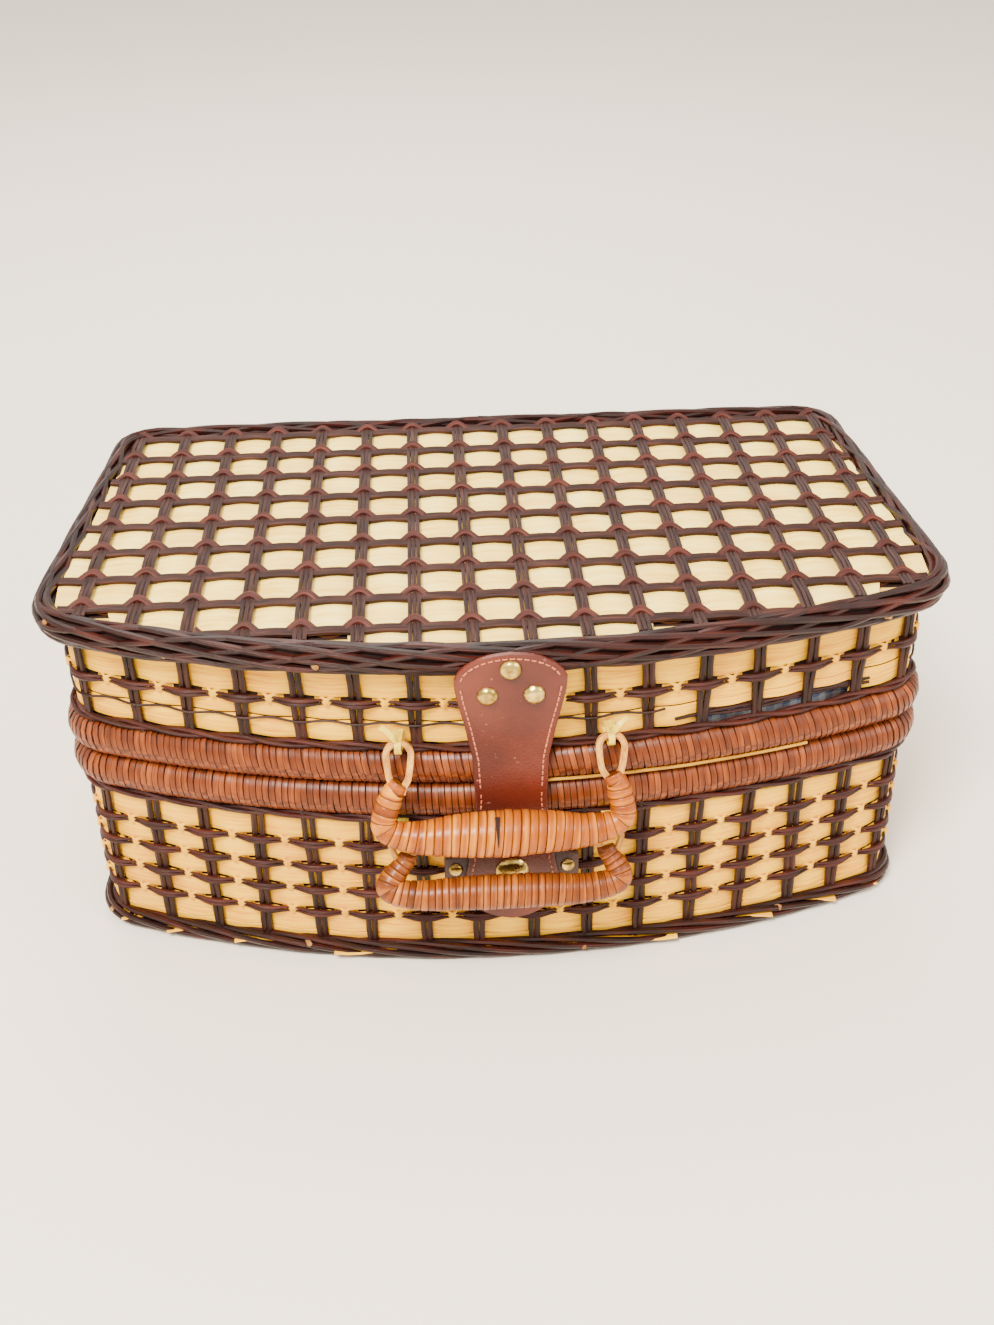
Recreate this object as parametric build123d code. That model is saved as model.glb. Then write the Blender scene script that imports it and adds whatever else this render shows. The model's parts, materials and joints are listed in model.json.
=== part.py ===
from build123d import *
import os
from math import atan2, cos, degrees, pi, radians, sin, tan

# A bow-fronted woven picnic hamper: a base and a hinged lid of cane splints, a leather strap
# with a press stud, two wound cane handles and two leather hinges at the back.
# Millimetres. +Z is up, the front faces -Y, and the foot border stands on z = 0.

# Plan outline, measured over the plaited border round the top of the lid
HALF_BACK = 225.0
HALF_FRONT = 240.0
DEPTH = 288.0
BOW = 52.0
BACK_CORNER_RADIUS = 28.0
FRONT_CORNER_RADIUS = 40.0
BACK_CORNER_FLATS = 8
FRONT_CORNER_FLATS = 6
BOW_FLATS = 12
BACK_Y = DEPTH / 2
FRONT_Y = -DEPTH / 2

# Heights
FOOT_HEIGHT = 14.0
PARTING_Z = 120.0
PARTING_GAP = 0.6
RIM_HEIGHT = 20.0
LID_TOP_Z = 208.0
TOP_BORDER_HEIGHT = 19.0

# Layers of the woven wall, from the inside out
SPLINT_THICK = 3.0
STAKE_DEEP = 3.0
WEAVER_DEEP = 2.0
WALL_INSET = 10.0
STAKE_INSET = WALL_INSET + WEAVER_DEEP
SPLINT_INSET = STAKE_INSET + STAKE_DEEP
INNER_INSET = SPLINT_INSET + SPLINT_THICK

# Rims, borders and floor
RIM_INSET = 7.0
INNER_HOOP_THICK = 4.0
RIM_CHAMFER = 4.0
FOOT_INSET = 2.0
BORDER_CHAMFER = 4.0
FLOOR_Z = 5.0
FLOOR_THICK = 3.0
TOP_PANEL_THICK = 3.0

# Stakes and weavers
STAKE_COUNT = 44
STAKE_ROD_WIDE = 2.9
WOVEN_SEAT = 0.2
ROW_PITCH = 16.0
BASE_ROWS = 4
DASH_HEIGHT = 5.0
TWINE_HEIGHT = 5.0
LID_DASH_Z = 168.0
LID_DARK_LINE_Z = 156.5
DARK_LINE_HEIGHT = 2.4

# Rods across the top of the lid
COLUMN_PITCH = 28.0
ROW_ROD_PITCH = 30.0
FIRST_ROW_FROM_BACK = 17.0
ROD_WIDE = 2.6
ROD_DEEP = 3.0

# Cloth linings
LINING_THICK = 1.5
LINING_GAP = 0.8
LINING_BELOW_RIM = 3.0

# Leather strap and press stud
STRAP_X = 3.0
STRAP_THICK = 2.5
STRAP_TOP_DROP = 2.0
STRAP_END_Z = 34.0
STRAP_WIDE = 55.0
STRAP_NARROW = 36.6
STRAP_END_WIDE = 51.0
STRAP_GAP = 0.3
FLEX_GAP = 0.4
RIVET_HEAD_R = 5.8
RIVET_HEAD_HIGH = 3.0
RIVET_SHANK_R = 1.8
RIVET_REACH = 5.0
SMALL_RIVET_HIGH = 1.6
TOP_RIVET_DROP = 10.0
LOWER_RIVET_DROP = 25.5
LOWER_RIVET_X = 11.4
PATCH_WIDE = 71.0
PATCH_HIGH = 19.0
PATCH_THICK = 2.0
PATCH_Z = 67.0
PATCH_RIVET_X = 29.5
PATCH_RIVET_R = 3.6
STUD_CAP_R = 8.6
STUD_CAP_HIGH = 3.0
STUD_POST_R = 3.0
STUD_POST_HIGH = 2.4
STUD_SOCKET_R = 6.0
STUD_CLEARANCE = 0.3

# Wound cane handles
GRIP_END_R = 7.2
LID_GRIP_R = 11.6
LID_HANDLE_HALF = 65.0
LID_HANDLE_DROP = 46.4
LID_HANDLE_LEAN = 20.2
LID_ELBOW_R = 14.0
BASE_GRIP_R = 9.6
BASE_HANDLE_HALF = 68.0
BASE_HANDLE_DROP = 30.6
BASE_HANDLE_LEAN = 31.6
BASE_ELBOW_R = 8.0
LID_PIVOT_Z = 150.6
BASE_PIVOT_Z = 95.0
PIVOT_STAND_OFF = 3.0
EYE_X = 53.0
EYE_WIDE = 16.6
EYE_LONG = 18.0
EYE_ROD = 3.6
EYE_CORNER = 4.5
EYE_TAIL_LONG = 12.0
EYE_TAIL_R = 2.2
WINDING_START = 13.0
LID_SHANK_START = 18.0
BASE_SHANK_START = 15.0
ELBOW_LEAD = 1.0
TIE_WIDE = 4.0
TIE_THICK = 0.8
TIE_CLEARANCE = 0.9

# Leather hinges
HINGE_X = 130.0
HINGE_WIDE = 30.0
HINGE_THICK = 2.2
HINGE_LEAF_HIGH = 17.0
HINGE_FOLD_GAP = 2.0
HINGE_RIVET_X = 8.0
HINGE_RIVET_R = 3.6

# Flat sides of the small turned pieces and of the grips
SIDES = 10
SHANK_SIDES = 6
GRIP_SIDES = 8
ELBOW_FLATS = 5
FOLD_SIDES = 8


def short_flats(arc, count):
    """An arc as short flats: woven strands turn a little at each stake, and run straight between."""
    return Polyline(*[arc @ (k / count) for k in range(count + 1)]).edges()


def plan(inset):
    """The plan outline moved in by inset: straight back, splayed sides, bowed front."""
    corner_y = FRONT_Y + BOW
    outline = make_face(
        [
            Line((-HALF_BACK, BACK_Y), (HALF_BACK, BACK_Y)),
            Line((HALF_BACK, BACK_Y), (HALF_FRONT, corner_y)),
            ThreePointArc((HALF_FRONT, corner_y), (0, FRONT_Y), (-HALF_FRONT, corner_y)),
            Line((-HALF_FRONT, corner_y), (-HALF_BACK, BACK_Y)),
        ]
    )
    outline = fillet(outline.vertices().sort_by(Axis.Y)[:2], FRONT_CORNER_RADIUS)
    outline = fillet(outline.vertices().sort_by(Axis.Y)[-2:], BACK_CORNER_RADIUS)
    arcs = outline.edges().filter_by(GeomType.CIRCLE).sort_by(Axis.Y)
    flats = [BOW_FLATS, FRONT_CORNER_FLATS, FRONT_CORNER_FLATS, BACK_CORNER_FLATS, BACK_CORNER_FLATS]
    edges = outline.edges().filter_by(GeomType.LINE)
    for arc, count in zip(arcs, flats):
        edges += short_flats(arc, count)
    outline = make_face(edges)
    return offset(outline, -inset) if inset else outline


OUTLINE_PATH = plan(0).faces()[0].outer_wire()
SECTION_PLANE = Plane(origin=(0, BACK_Y, 0), x_dir=(0, -1, 0), z_dir=(-1, 0, 0))


def hoop(*section):
    """A ring round the whole plan. The section's corners are (inset, height) pairs."""
    corners = list(section) + [section[0]]
    section = SECTION_PLANE * make_face(Polyline(*corners).edges())
    return sweep(section, path=OUTLINE_PATH, transition=Transition.RIGHT)


def square_hoop(outer, inner, low, high):
    return hoop((outer, low), (inner, low), (inner, high), (outer, high))


def rounded_hoop(outer, inner, low, high, cut):
    """A ring whose two outer edges are cut back, as a bundle of rods is round outside."""
    return hoop(
        (outer + cut, low), (inner, low), (inner, high),
        (outer + cut, high), (outer, high - cut), (outer, low + cut)
    )


def weaver(middle_z, height):
    """A pair of thin rods that runs round in front of the stakes."""
    half = height / 2
    return hoop((STAKE_INSET, middle_z - half), (STAKE_INSET, middle_z + half), (WALL_INSET, middle_z))


def outline_planes(inset, count):
    """Evenly spaced planes on the outline: x points outwards and z is up. None is at the front centre."""
    wire = plan(inset).faces()[0].outer_wire()
    front = wire.param_at_point(wire.vertices().sort_by(Axis.Y)[0])
    planes = []
    for k in range(count):
        place = (front + (k + 0.5) / count) % 1.0
        point = wire.position_at(place)
        outward = wire.tangent_at(place).cross(Vector(0, 0, 1))
        if outward.dot(point) < 0:
            outward = outward * -1
        planes.append(Plane(origin=point, x_dir=outward, z_dir=(0, 0, 1)))
    return planes


def stakes(low, high):
    """Pairs of upright rods against the outside of the splints, all round."""
    half = STAKE_ROD_WIDE / 2
    deep = STAKE_DEEP - WOVEN_SEAT
    rod_section = Polygon((0, -half), (deep, -half * 0.5), (deep, half * 0.5), (0, half), align=None)
    rod = Pos(0, 0, low) * extrude(rod_section, high - low)
    rods = []
    for plane in outline_planes(SPLINT_INSET, STAKE_COUNT):
        rods += [plane * Pos(0, side * half, 0) * rod for side in (-1, 1)]
    return rods


def turned(levels, sides):
    """A many-sided turned form along +Z with flat faces, from (height, radius) levels."""
    form = Part()
    for (z0, r0), (z1, r1) in zip(levels, levels[1:]):
        slope = degrees(atan2((r0 - r1) * cos(pi / sides), z1 - z0))
        form += Pos(0, 0, z0) * extrude(RegularPolygon(r0, sides), z1 - z0, taper=slope)
    return form


def rivet(head_r, head_high, shank_long):
    """A domed head on the local z = 0, with its shank below."""
    head = turned([(0, head_r), (head_high * 0.65, head_r * 0.8), (head_high, head_r * 0.4)], SIDES)
    return head + turned([(-shank_long, RIVET_SHANK_R), (0, RIVET_SHANK_R)], SHANK_SIDES)


def rivet_hole(plane, depth):
    return plane * turned([(-depth, RIVET_SHANK_R), (depth, RIVET_SHANK_R)], SHANK_SIDES)


def apart(solids):
    """Several separate solids kept in one node."""
    return Compound(children=[part.solid() if hasattr(part, "solid") else part for part in solids])


nodes = {}

# Base
base_rim_top = PARTING_Z - PARTING_GAP / 2
base_rim_low = base_rim_top - RIM_HEIGHT
nodes["base_floor"] = Pos(0, 0, FLOOR_Z) * extrude(plan(INNER_INSET), FLOOR_THICK)
nodes["base_foot_border"] = rounded_hoop(FOOT_INSET, INNER_INSET, 0, FOOT_HEIGHT, BORDER_CHAMFER)
nodes["base_wall"] = square_hoop(SPLINT_INSET, INNER_INSET, FOOT_HEIGHT, base_rim_top)
nodes["base_stakes"] = apart(stakes(FOOT_HEIGHT, base_rim_low))
nodes["base_rim_outer_hoop"] = rounded_hoop(
    RIM_INSET, SPLINT_INSET, base_rim_low, base_rim_top, RIM_CHAMFER
)
nodes["base_rim_inner_hoop"] = square_hoop(
    INNER_INSET, INNER_INSET + INNER_HOOP_THICK, base_rim_low, base_rim_top
)

# Lid
lid_rim_low = PARTING_Z + PARTING_GAP / 2
lid_rim_top = lid_rim_low + RIM_HEIGHT
top_panel_high = LID_TOP_Z - 2 * ROD_DEEP
top_panel_low = top_panel_high - TOP_PANEL_THICK
border_low = LID_TOP_Z - TOP_BORDER_HEIGHT
nodes["lid_top_panel"] = Pos(0, 0, top_panel_low) * extrude(plan(STAKE_INSET), TOP_PANEL_THICK)
nodes["lid_top_border"] = rounded_hoop(0, STAKE_INSET, border_low, LID_TOP_Z, BORDER_CHAMFER)
nodes["lid_wall"] = square_hoop(SPLINT_INSET, INNER_INSET, lid_rim_low, top_panel_low)
nodes["lid_stakes"] = apart(stakes(lid_rim_top, top_panel_low))
nodes["lid_rim_outer_hoop"] = rounded_hoop(RIM_INSET, SPLINT_INSET, lid_rim_low, lid_rim_top, RIM_CHAMFER)
nodes["lid_rim_inner_hoop"] = square_hoop(
    INNER_INSET, INNER_INSET + INNER_HOOP_THICK, lid_rim_low, lid_rim_top
)

# Rods across the lid's top, cut to the inside of the border
rod_area = plan(STAKE_INSET + WOVEN_SEAT)


def top_rods(places, along_y, low):
    """Pairs of rods at each place, laid on the height low and ended at the border."""
    pair = (-ROD_WIDE / 2, ROD_WIDE / 2)
    rods = []
    for place in places:
        for side in pair:
            middle = place + side
            strip = Rectangle(ROD_WIDE, 2 * DEPTH) if along_y else Rectangle(4 * HALF_FRONT, ROD_WIDE)
            centre = Pos(middle, 0) if along_y else Pos(0, middle)
            rods.append(Pos(0, 0, low) * extrude((centre * strip) & rod_area, ROD_DEEP))
    return rods


columns_a_side = int((HALF_FRONT - STAKE_INSET) / COLUMN_PITCH + 0.5)
row_count = int((DEPTH - STAKE_INSET - FIRST_ROW_FROM_BACK) / ROW_ROD_PITCH) + 1
column_places = [side * (k + 0.5) * COLUMN_PITCH for side in (-1, 1) for k in range(columns_a_side)]
row_places = [BACK_Y - FIRST_ROW_FROM_BACK - k * ROW_ROD_PITCH for k in range(row_count)]
nodes["lid_column_rods"] = apart(top_rods(column_places, True, top_panel_high))
nodes["lid_row_rods"] = apart(top_rods(row_places, False, top_panel_high + ROD_DEEP))

# Linings: an open box of cloth in the base and another in the lid
lining_inset = INNER_INSET + INNER_HOOP_THICK + LINING_GAP


def lining(low, high, closed_at_top):
    """An open cloth box between two heights, closed at one end."""
    outer = Pos(0, 0, low) * extrude(plan(lining_inset), high - low)
    shift = -LINING_THICK if closed_at_top else LINING_THICK
    inner = Pos(0, 0, low + shift) * extrude(plan(lining_inset + LINING_THICK), high - low)
    return outer - inner


nodes["base_lining"] = lining(FLOOR_Z + FLOOR_THICK, base_rim_top - LINING_BELOW_RIM, False)
nodes["lid_lining"] = lining(lid_rim_low + LINING_BELOW_RIM, top_panel_low, True)

# Handle pivots stand just off the weavers, and a cane tie holds each eye's top bar
pivot_y = FRONT_Y + WALL_INSET - EYE_ROD / 2 - TIE_CLEARANCE - TIE_THICK - PIVOT_STAND_OFF
tie_inner_r = EYE_ROD / 2 + TIE_CLEARANCE
tie_outer_r = tie_inner_r + TIE_THICK
splint_y = FRONT_Y + SPLINT_INSET


def side_extruded(section, wide):
    """A section drawn in (y, z), given a width along X about x = 0."""
    plane = Plane(origin=(-wide / 2, 0, 0), x_dir=(0, 1, 0), z_dir=(1, 0, 0))
    return extrude(plane * section, wide)


def tie_section(radius, pivot_z):
    """A long loop shape round the pivot, from its front to past the splints."""
    long = splint_y - pivot_y + 2 * radius
    middle = pivot_y - radius + long / 2 + radius
    return Pos(middle, pivot_z) * chamfer(Rectangle(long + 2 * radius, 2 * radius).vertices(), radius * 0.6)


def ties(pivot_z):
    """Two flat cane loops, from the splints round the eyes' top bars."""
    loop = side_extruded(tie_section(tie_outer_r, pivot_z) - tie_section(tie_inner_r, pivot_z), TIE_WIDE)
    cover = Pos(0, splint_y + DEPTH / 2, pivot_z) * Box(2 * TIE_WIDE, DEPTH, 4 * tie_outer_r)
    front_part = loop - cover
    return [Pos(side * EYE_X, 0, 0) * front_part for side in (-1, 1)]


def tie_slots(pivot_z):
    """Room for the ties where they pass through the weavers."""
    slot = Pos(0, splint_y, pivot_z) * Box(TIE_WIDE + 1.0, 2 * SPLINT_INSET, 2 * tie_outer_r + 0.6)
    return Pos(EYE_X, 0, 0) * slot + Pos(-EYE_X, 0, 0) * slot


base_dash_heights = [FOOT_HEIGHT + ROW_PITCH * (k + 1) for k in range(BASE_ROWS)]
base_weaver_rings = [weaver(z, DASH_HEIGHT) for z in base_dash_heights]
base_weaver_rings.append(weaver(base_rim_low - TWINE_HEIGHT / 2, TWINE_HEIGHT) - tie_slots(BASE_PIVOT_Z))
lid_weaver_rings = [
    weaver(LID_DASH_Z, DASH_HEIGHT),
    weaver(LID_DARK_LINE_Z, DARK_LINE_HEIGHT) - tie_slots(LID_PIVOT_Z),
    weaver(lid_rim_top + TWINE_HEIGHT / 2, TWINE_HEIGHT) - tie_slots(LID_PIVOT_Z),
]


def solids_of(shapes):
    return [solid for shape in shapes for solid in shape.solids()]


nodes["base_weavers"] = apart(solids_of(base_weaver_rings))
nodes["lid_weavers"] = apart(solids_of(lid_weaver_rings))
nodes["lid_handle_ties"] = apart(solids_of(ties(LID_PIVOT_Z)))
nodes["base_handle_ties"] = apart(solids_of(ties(BASE_PIVOT_Z)))


def handle(grip_r, half, drop, elbow_r, shank_start, lean, pivot_z):
    """A U-shaped handle hung from its two eyes. Returns the wound grip and the cane eyes."""
    start = (EYE_X, 0, -shank_start)
    corner = (half, 0, -drop)
    turn = radians(90) + atan2(half - EYE_X, drop - shank_start)
    grip_end = (half - elbow_r * tan(turn / 2) - ELBOW_LEAD, 0, -drop)
    elbow = FilletPolyline(start, corner, grip_end, radius=elbow_r).edges().filter_by(GeomType.CIRCLE)[0]
    arm_path = Polyline(start, *[elbow @ (k / ELBOW_FLATS) for k in range(ELBOW_FLATS + 1)], grip_end)
    along = Vector(*corner) - Vector(*start)
    start_plane = Plane(origin=start, x_dir=(0, 1, 0), z_dir=along)
    arm = sweep(start_plane * RegularPolygon(GRIP_END_R, GRIP_SIDES), path=arm_path, transition=Transition.RIGHT)
    arm += start_plane * turned([(WINDING_START - shank_start, GRIP_END_R * 0.6), (0, GRIP_END_R)], GRIP_SIDES)
    swell = grip_r - GRIP_END_R
    long = grip_end[0]
    grip_levels = [(0, grip_r), (long * 0.35, grip_r - swell * 0.15), (long * 0.7, grip_r - swell * 0.55)]
    grip_plane = Plane(origin=(0, 0, -drop), x_dir=(0, 1, 0), z_dir=(1, 0, 0))
    right = arm + grip_plane * turned(grip_levels + [(long, GRIP_END_R)], GRIP_SIDES)
    whole = right + mirror(right, Plane.YZ)

    centre_z = EYE_ROD / 2 - EYE_LONG / 2
    outer = Rectangle(EYE_WIDE, EYE_LONG)
    inner = Rectangle(EYE_WIDE - 2 * EYE_ROD, EYE_LONG - 2 * EYE_ROD)
    ring = chamfer(outer.vertices(), EYE_CORNER) - chamfer(inner.vertices(), EYE_CORNER / 2)
    loop_plane = Plane(origin=(EYE_X, EYE_ROD / 2, centre_z), x_dir=(1, 0, 0), z_dir=(0, -1, 0))
    loop = extrude(loop_plane * ring, EYE_ROD)
    tail_start = Vector(EYE_X, 0, centre_z - EYE_LONG / 2 + EYE_ROD / 2)
    tail_plane = Plane(origin=tail_start, z_dir=along)
    tail = tail_plane * turned([(0, EYE_TAIL_R), (EYE_TAIL_LONG, EYE_TAIL_R)], SHANK_SIDES)
    eye = loop + tail
    eyes = [eye, mirror(eye, Plane.YZ)]
    wound = whole - eyes[0] - eyes[1]

    swing = Pos(0, pivot_y, pivot_z) * Rot(-lean, 0, 0)
    return swing * wound, [swing * piece for piece in eyes]


lid_grip, lid_eyes = handle(
    LID_GRIP_R, LID_HANDLE_HALF, LID_HANDLE_DROP, LID_ELBOW_R, LID_SHANK_START, LID_HANDLE_LEAN, LID_PIVOT_Z
)
base_grip, base_eyes = handle(
    BASE_GRIP_R, BASE_HANDLE_HALF, BASE_HANDLE_DROP, BASE_ELBOW_R, BASE_SHANK_START, BASE_HANDLE_LEAN, BASE_PIVOT_Z
)
nodes["lid_handle_grip"] = lid_grip
nodes["lid_handle_eyes"] = apart(solids_of(lid_eyes))
nodes["base_handle_grip"] = base_grip
nodes["base_handle_eyes"] = apart(solids_of(base_eyes))

# The strap hangs over the border, slopes in to the rims and runs down to the press stud.
strap_top_z = LID_TOP_Z - STRAP_TOP_DROP
border_front = FRONT_Y - STRAP_GAP
rim_front = FRONT_Y + RIM_INSET - STRAP_GAP
wall_front = FRONT_Y + WALL_INSET
patch_front = wall_front - PATCH_THICK
end_front = patch_front - STRAP_GAP
strap_back = [
    (border_front, strap_top_z),
    (border_front, border_low),
    (rim_front, lid_rim_top),
    (rim_front, base_rim_low),
    (end_front, PATCH_Z + PATCH_HIGH / 2),
    (end_front, STRAP_END_Z),
]
strap_front = [(y - STRAP_THICK, z) for y, z in reversed(strap_back)]
strap_side = make_face(Polyline(*strap_back, *strap_front, strap_back[0]).edges())


def strap_front_view():
    """The strap's outline seen from the front, in (x, z): wide, waisted and wide again."""
    top_z, end_z = strap_top_z, STRAP_END_Z
    top_half, waist, end_half = STRAP_WIDE / 2, STRAP_NARROW / 2, STRAP_END_WIDE / 2
    right = Polyline(
        (top_half, top_z - top_half * 0.5),
        (top_half - 1.5, LID_TOP_Z - LOWER_RIVET_DROP - 4),
        (waist + 1.0, lid_rim_top),
        (waist, PARTING_Z - 5),
        (waist + 1.5, base_rim_low - 8),
        (end_half, end_z + end_half),
    )
    top = ThreePointArc((-top_half, top_z - top_half * 0.5), (0, top_z), (top_half, top_z - top_half * 0.5))
    end = ThreePointArc((end_half, end_z + end_half), (0, end_z), (-end_half, end_z + end_half))
    return make_face([*top.edges(), *right.edges(), *end.edges(), *mirror(right, Plane.YZ).edges()])


front_plane = Plane(origin=(STRAP_X, 0, 0), x_dir=(1, 0, 0), z_dir=(0, -1, 0))
strap_outline = extrude(front_plane * strap_front_view(), DEPTH)
strap = (Pos(STRAP_X, 0, 0) * side_extruded(strap_side, 2 * STRAP_WIDE)) & strap_outline

rivet_slope = atan2(rim_front - border_front, border_low - lid_rim_top)


def strap_surface(x, z):
    """A plane on the strap's front face, its z axis pointing out of the leather."""
    if z >= border_low:
        return Plane(origin=(STRAP_X + x, border_front - STRAP_THICK, z), x_dir=(1, 0, 0), z_dir=(0, -1, 0))
    drop = (border_low - z) * (rim_front - border_front) / (border_low - lid_rim_top)
    out = (0, -cos(rivet_slope), -sin(rivet_slope))
    return Plane(origin=(STRAP_X + x, border_front - STRAP_THICK + drop, z), x_dir=(1, 0, 0), z_dir=out)


top_rivet = strap_surface(0, LID_TOP_Z - TOP_RIVET_DROP)
lower_rivets = [strap_surface(side * LOWER_RIVET_X, LID_TOP_Z - LOWER_RIVET_DROP) for side in (-1, 1)]
strap_rivets = [top_rivet * rivet(RIVET_HEAD_R, RIVET_HEAD_HIGH, STRAP_THICK + STRAP_GAP)]
strap_rivets += [plane * rivet(RIVET_HEAD_R, RIVET_HEAD_HIGH, STRAP_THICK + RIVET_REACH) for plane in lower_rivets]
cut_block = Pos(STRAP_X, FRONT_Y, PARTING_Z) * Box(2 * STRAP_WIDE, DEPTH, 2 * DEPTH)
strap_upper_cut = Pos(0, 0, DEPTH + FLEX_GAP / 2) * cut_block
strap_lower_cut = Pos(0, 0, -DEPTH - FLEX_GAP / 2) * cut_block
strap_upper = strap & strap_upper_cut
for plane in [top_rivet] + lower_rivets:
    strap_upper -= rivet_hole(plane, STRAP_THICK * 2)

stud_y = end_front - STRAP_THICK
stud_plane = Plane(origin=(STRAP_X, stud_y, PATCH_Z), x_dir=(1, 0, 0), z_dir=(0, -1, 0))
post_plane = Plane(origin=(STRAP_X, patch_front, PATCH_Z), x_dir=(1, 0, 0), z_dir=(0, -1, 0))
socket_hole_r = STUD_POST_R + STUD_CLEARANCE
socket_well = STUD_POST_HIGH + STUD_CLEARANCE - STRAP_GAP
strap_lower = strap & strap_lower_cut
strap_lower -= stud_plane * turned([(-2 * STRAP_THICK, STUD_SOCKET_R), (1, STUD_SOCKET_R)], SIDES)
socket = turned([(-STRAP_THICK, STUD_SOCKET_R), (0, STUD_SOCKET_R)], SIDES)
socket -= turned([(-2 * STRAP_THICK, socket_hole_r), (socket_well - STRAP_THICK, socket_hole_r)], SHANK_SIDES)
nodes["strap_upper"] = strap_upper
nodes["strap_rivets"] = apart(solids_of(strap_rivets))
nodes["strap_tab"] = strap_lower
nodes["press_stud_socket"] = stud_plane * socket
nodes["press_stud_cap"] = stud_plane * turned(
    [(0, STUD_CAP_R), (STUD_CAP_HIGH * 0.6, STUD_CAP_R * 0.82), (STUD_CAP_HIGH, STUD_CAP_R * 0.4)], SIDES
)

# The patch on the base carries the press stud's post
patch_plane = Plane(origin=(STRAP_X, wall_front, PATCH_Z), x_dir=(1, 0, 0), z_dir=(0, -1, 0))
patch_face = chamfer(Rectangle(PATCH_WIDE, PATCH_HIGH).vertices(), PATCH_HIGH * 0.25)
patch = extrude(patch_plane * patch_face, PATCH_THICK)
patch_rivet_planes = [post_plane * Pos(side * PATCH_RIVET_X, 0, 0) for side in (-1, 1)]
for plane in patch_rivet_planes:
    patch -= plane * turned([(-2 * PATCH_THICK, RIVET_SHANK_R), (1, RIVET_SHANK_R)], SHANK_SIDES)
nodes["stud_patch"] = patch
patch_shank = PATCH_THICK + WEAVER_DEEP + STAKE_DEEP
nodes["patch_rivets"] = apart(
    solids_of([plane * rivet(PATCH_RIVET_R, SMALL_RIVET_HIGH, patch_shank) for plane in patch_rivet_planes])
)
nodes["press_stud_post"] = post_plane * turned(
    [(0, STUD_POST_R), (STUD_POST_HIGH * 0.5, STUD_POST_R * 0.85), (STUD_POST_HIGH, STUD_POST_R)], SHANK_SIDES
)

# Leather hinges lie on the back of the rims and fold at the parting
hinge_back = BACK_Y - RIM_INSET
fold_y = hinge_back + HINGE_THICK / 2


def hinge_planes(z_side):
    """Planes on the leaf's outer face at each rivet. z_side is 1 for the lid and -1 for the base."""
    z = PARTING_Z + z_side * (HINGE_FOLD_GAP + HINGE_LEAF_HIGH / 2)
    y = hinge_back + HINGE_THICK
    places = [centre + side * HINGE_RIVET_X for centre in (-HINGE_X, HINGE_X) for side in (-1, 1)]
    return [Plane(origin=(x, y, z), x_dir=(-1, 0, 0), z_dir=(0, 1, 0)) for x in places]


def hinge_leaves(z_side):
    """The two leaves on one side of the parting, bored for their rivets."""
    middle = PARTING_Z + z_side * (HINGE_FOLD_GAP + HINGE_LEAF_HIGH / 2)
    leaf = Pos(0, fold_y, middle) * Box(HINGE_WIDE, HINGE_THICK, HINGE_LEAF_HIGH)
    leaves = Pos(-HINGE_X, 0, 0) * leaf + Pos(HINGE_X, 0, 0) * leaf
    for plane in hinge_planes(z_side):
        leaves -= rivet_hole(plane, HINGE_THICK * 2)
    return leaves


def hinge_folds():
    """The rolled fold of each hinge, on the pivot, joined to the lower leaf by a web."""
    roll_plane = Plane(origin=(-HINGE_WIDE / 2, fold_y, PARTING_Z), x_dir=(0, 1, 0), z_dir=(1, 0, 0))
    roll = extrude(roll_plane * RegularPolygon(HINGE_THICK / 2, FOLD_SIDES), HINGE_WIDE)
    web = Pos(0, fold_y, PARTING_Z - HINGE_FOLD_GAP / 2) * Box(HINGE_WIDE, HINGE_THICK * 0.7, HINGE_FOLD_GAP)
    fold = roll + web
    return Pos(-HINGE_X, 0, 0) * fold + Pos(HINGE_X, 0, 0) * fold


for name, z_side in (("base", -1), ("lid", 1)):
    planes = hinge_planes(z_side)
    leaves = hinge_leaves(z_side)
    if z_side < 0:
        leaves += hinge_folds()
    nodes[f"{name}_hinge_leaves"] = apart(solids_of([leaves]))
    nodes[f"{name}_hinge_rivets"] = apart(
        solids_of([plane * rivet(HINGE_RIVET_R, SMALL_RIVET_HIGH, HINGE_THICK) for plane in planes])
    )

# Centre the finished hamper over the origin and write its pieces
whole_box = Compound(children=[solid for shape in nodes.values() for solid in shape.solids()]).bounding_box()
y_shift = -(whole_box.min.Y + whole_box.max.Y) / 2
os.makedirs("parts", exist_ok=True)
for name, shape in nodes.items():
    solids = shape.solids()
    moved = Pos(0, y_shift, 0) * (Compound(children=solids) if len(solids) > 1 else solids[0])
    export_step(moved, f"parts/{name}.step")
print(f"moved along Y by {y_shift:.3f}")
print(f"lid hinge line: y {fold_y + y_shift:.3f}, z {PARTING_Z:.3f}")
print(f"handle pivots: y {pivot_y + y_shift:.3f}, z {LID_PIVOT_Z:.3f} and {BASE_PIVOT_Z:.3f}")
print(f"strap bend: y {rim_front - STRAP_THICK / 2 + y_shift:.3f}, z {PARTING_Z:.3f}")
print(f"front plane of the lid's border: y {FRONT_Y + y_shift:.3f}")
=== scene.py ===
# %% [markdown]
# # A bow-fronted woven picnic hamper
#
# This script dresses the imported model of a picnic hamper. The frame holds plain solids at the
# right size and place. Every strand of the weave, the lapped rims, the leather and the brass are
# made here, on the same plan outline and heights as the frame, so that they ride on its bodies.

# %% Load the frame
import json
import math

import bpy
import numpy as np
from mathutils import Matrix, Vector

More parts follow.
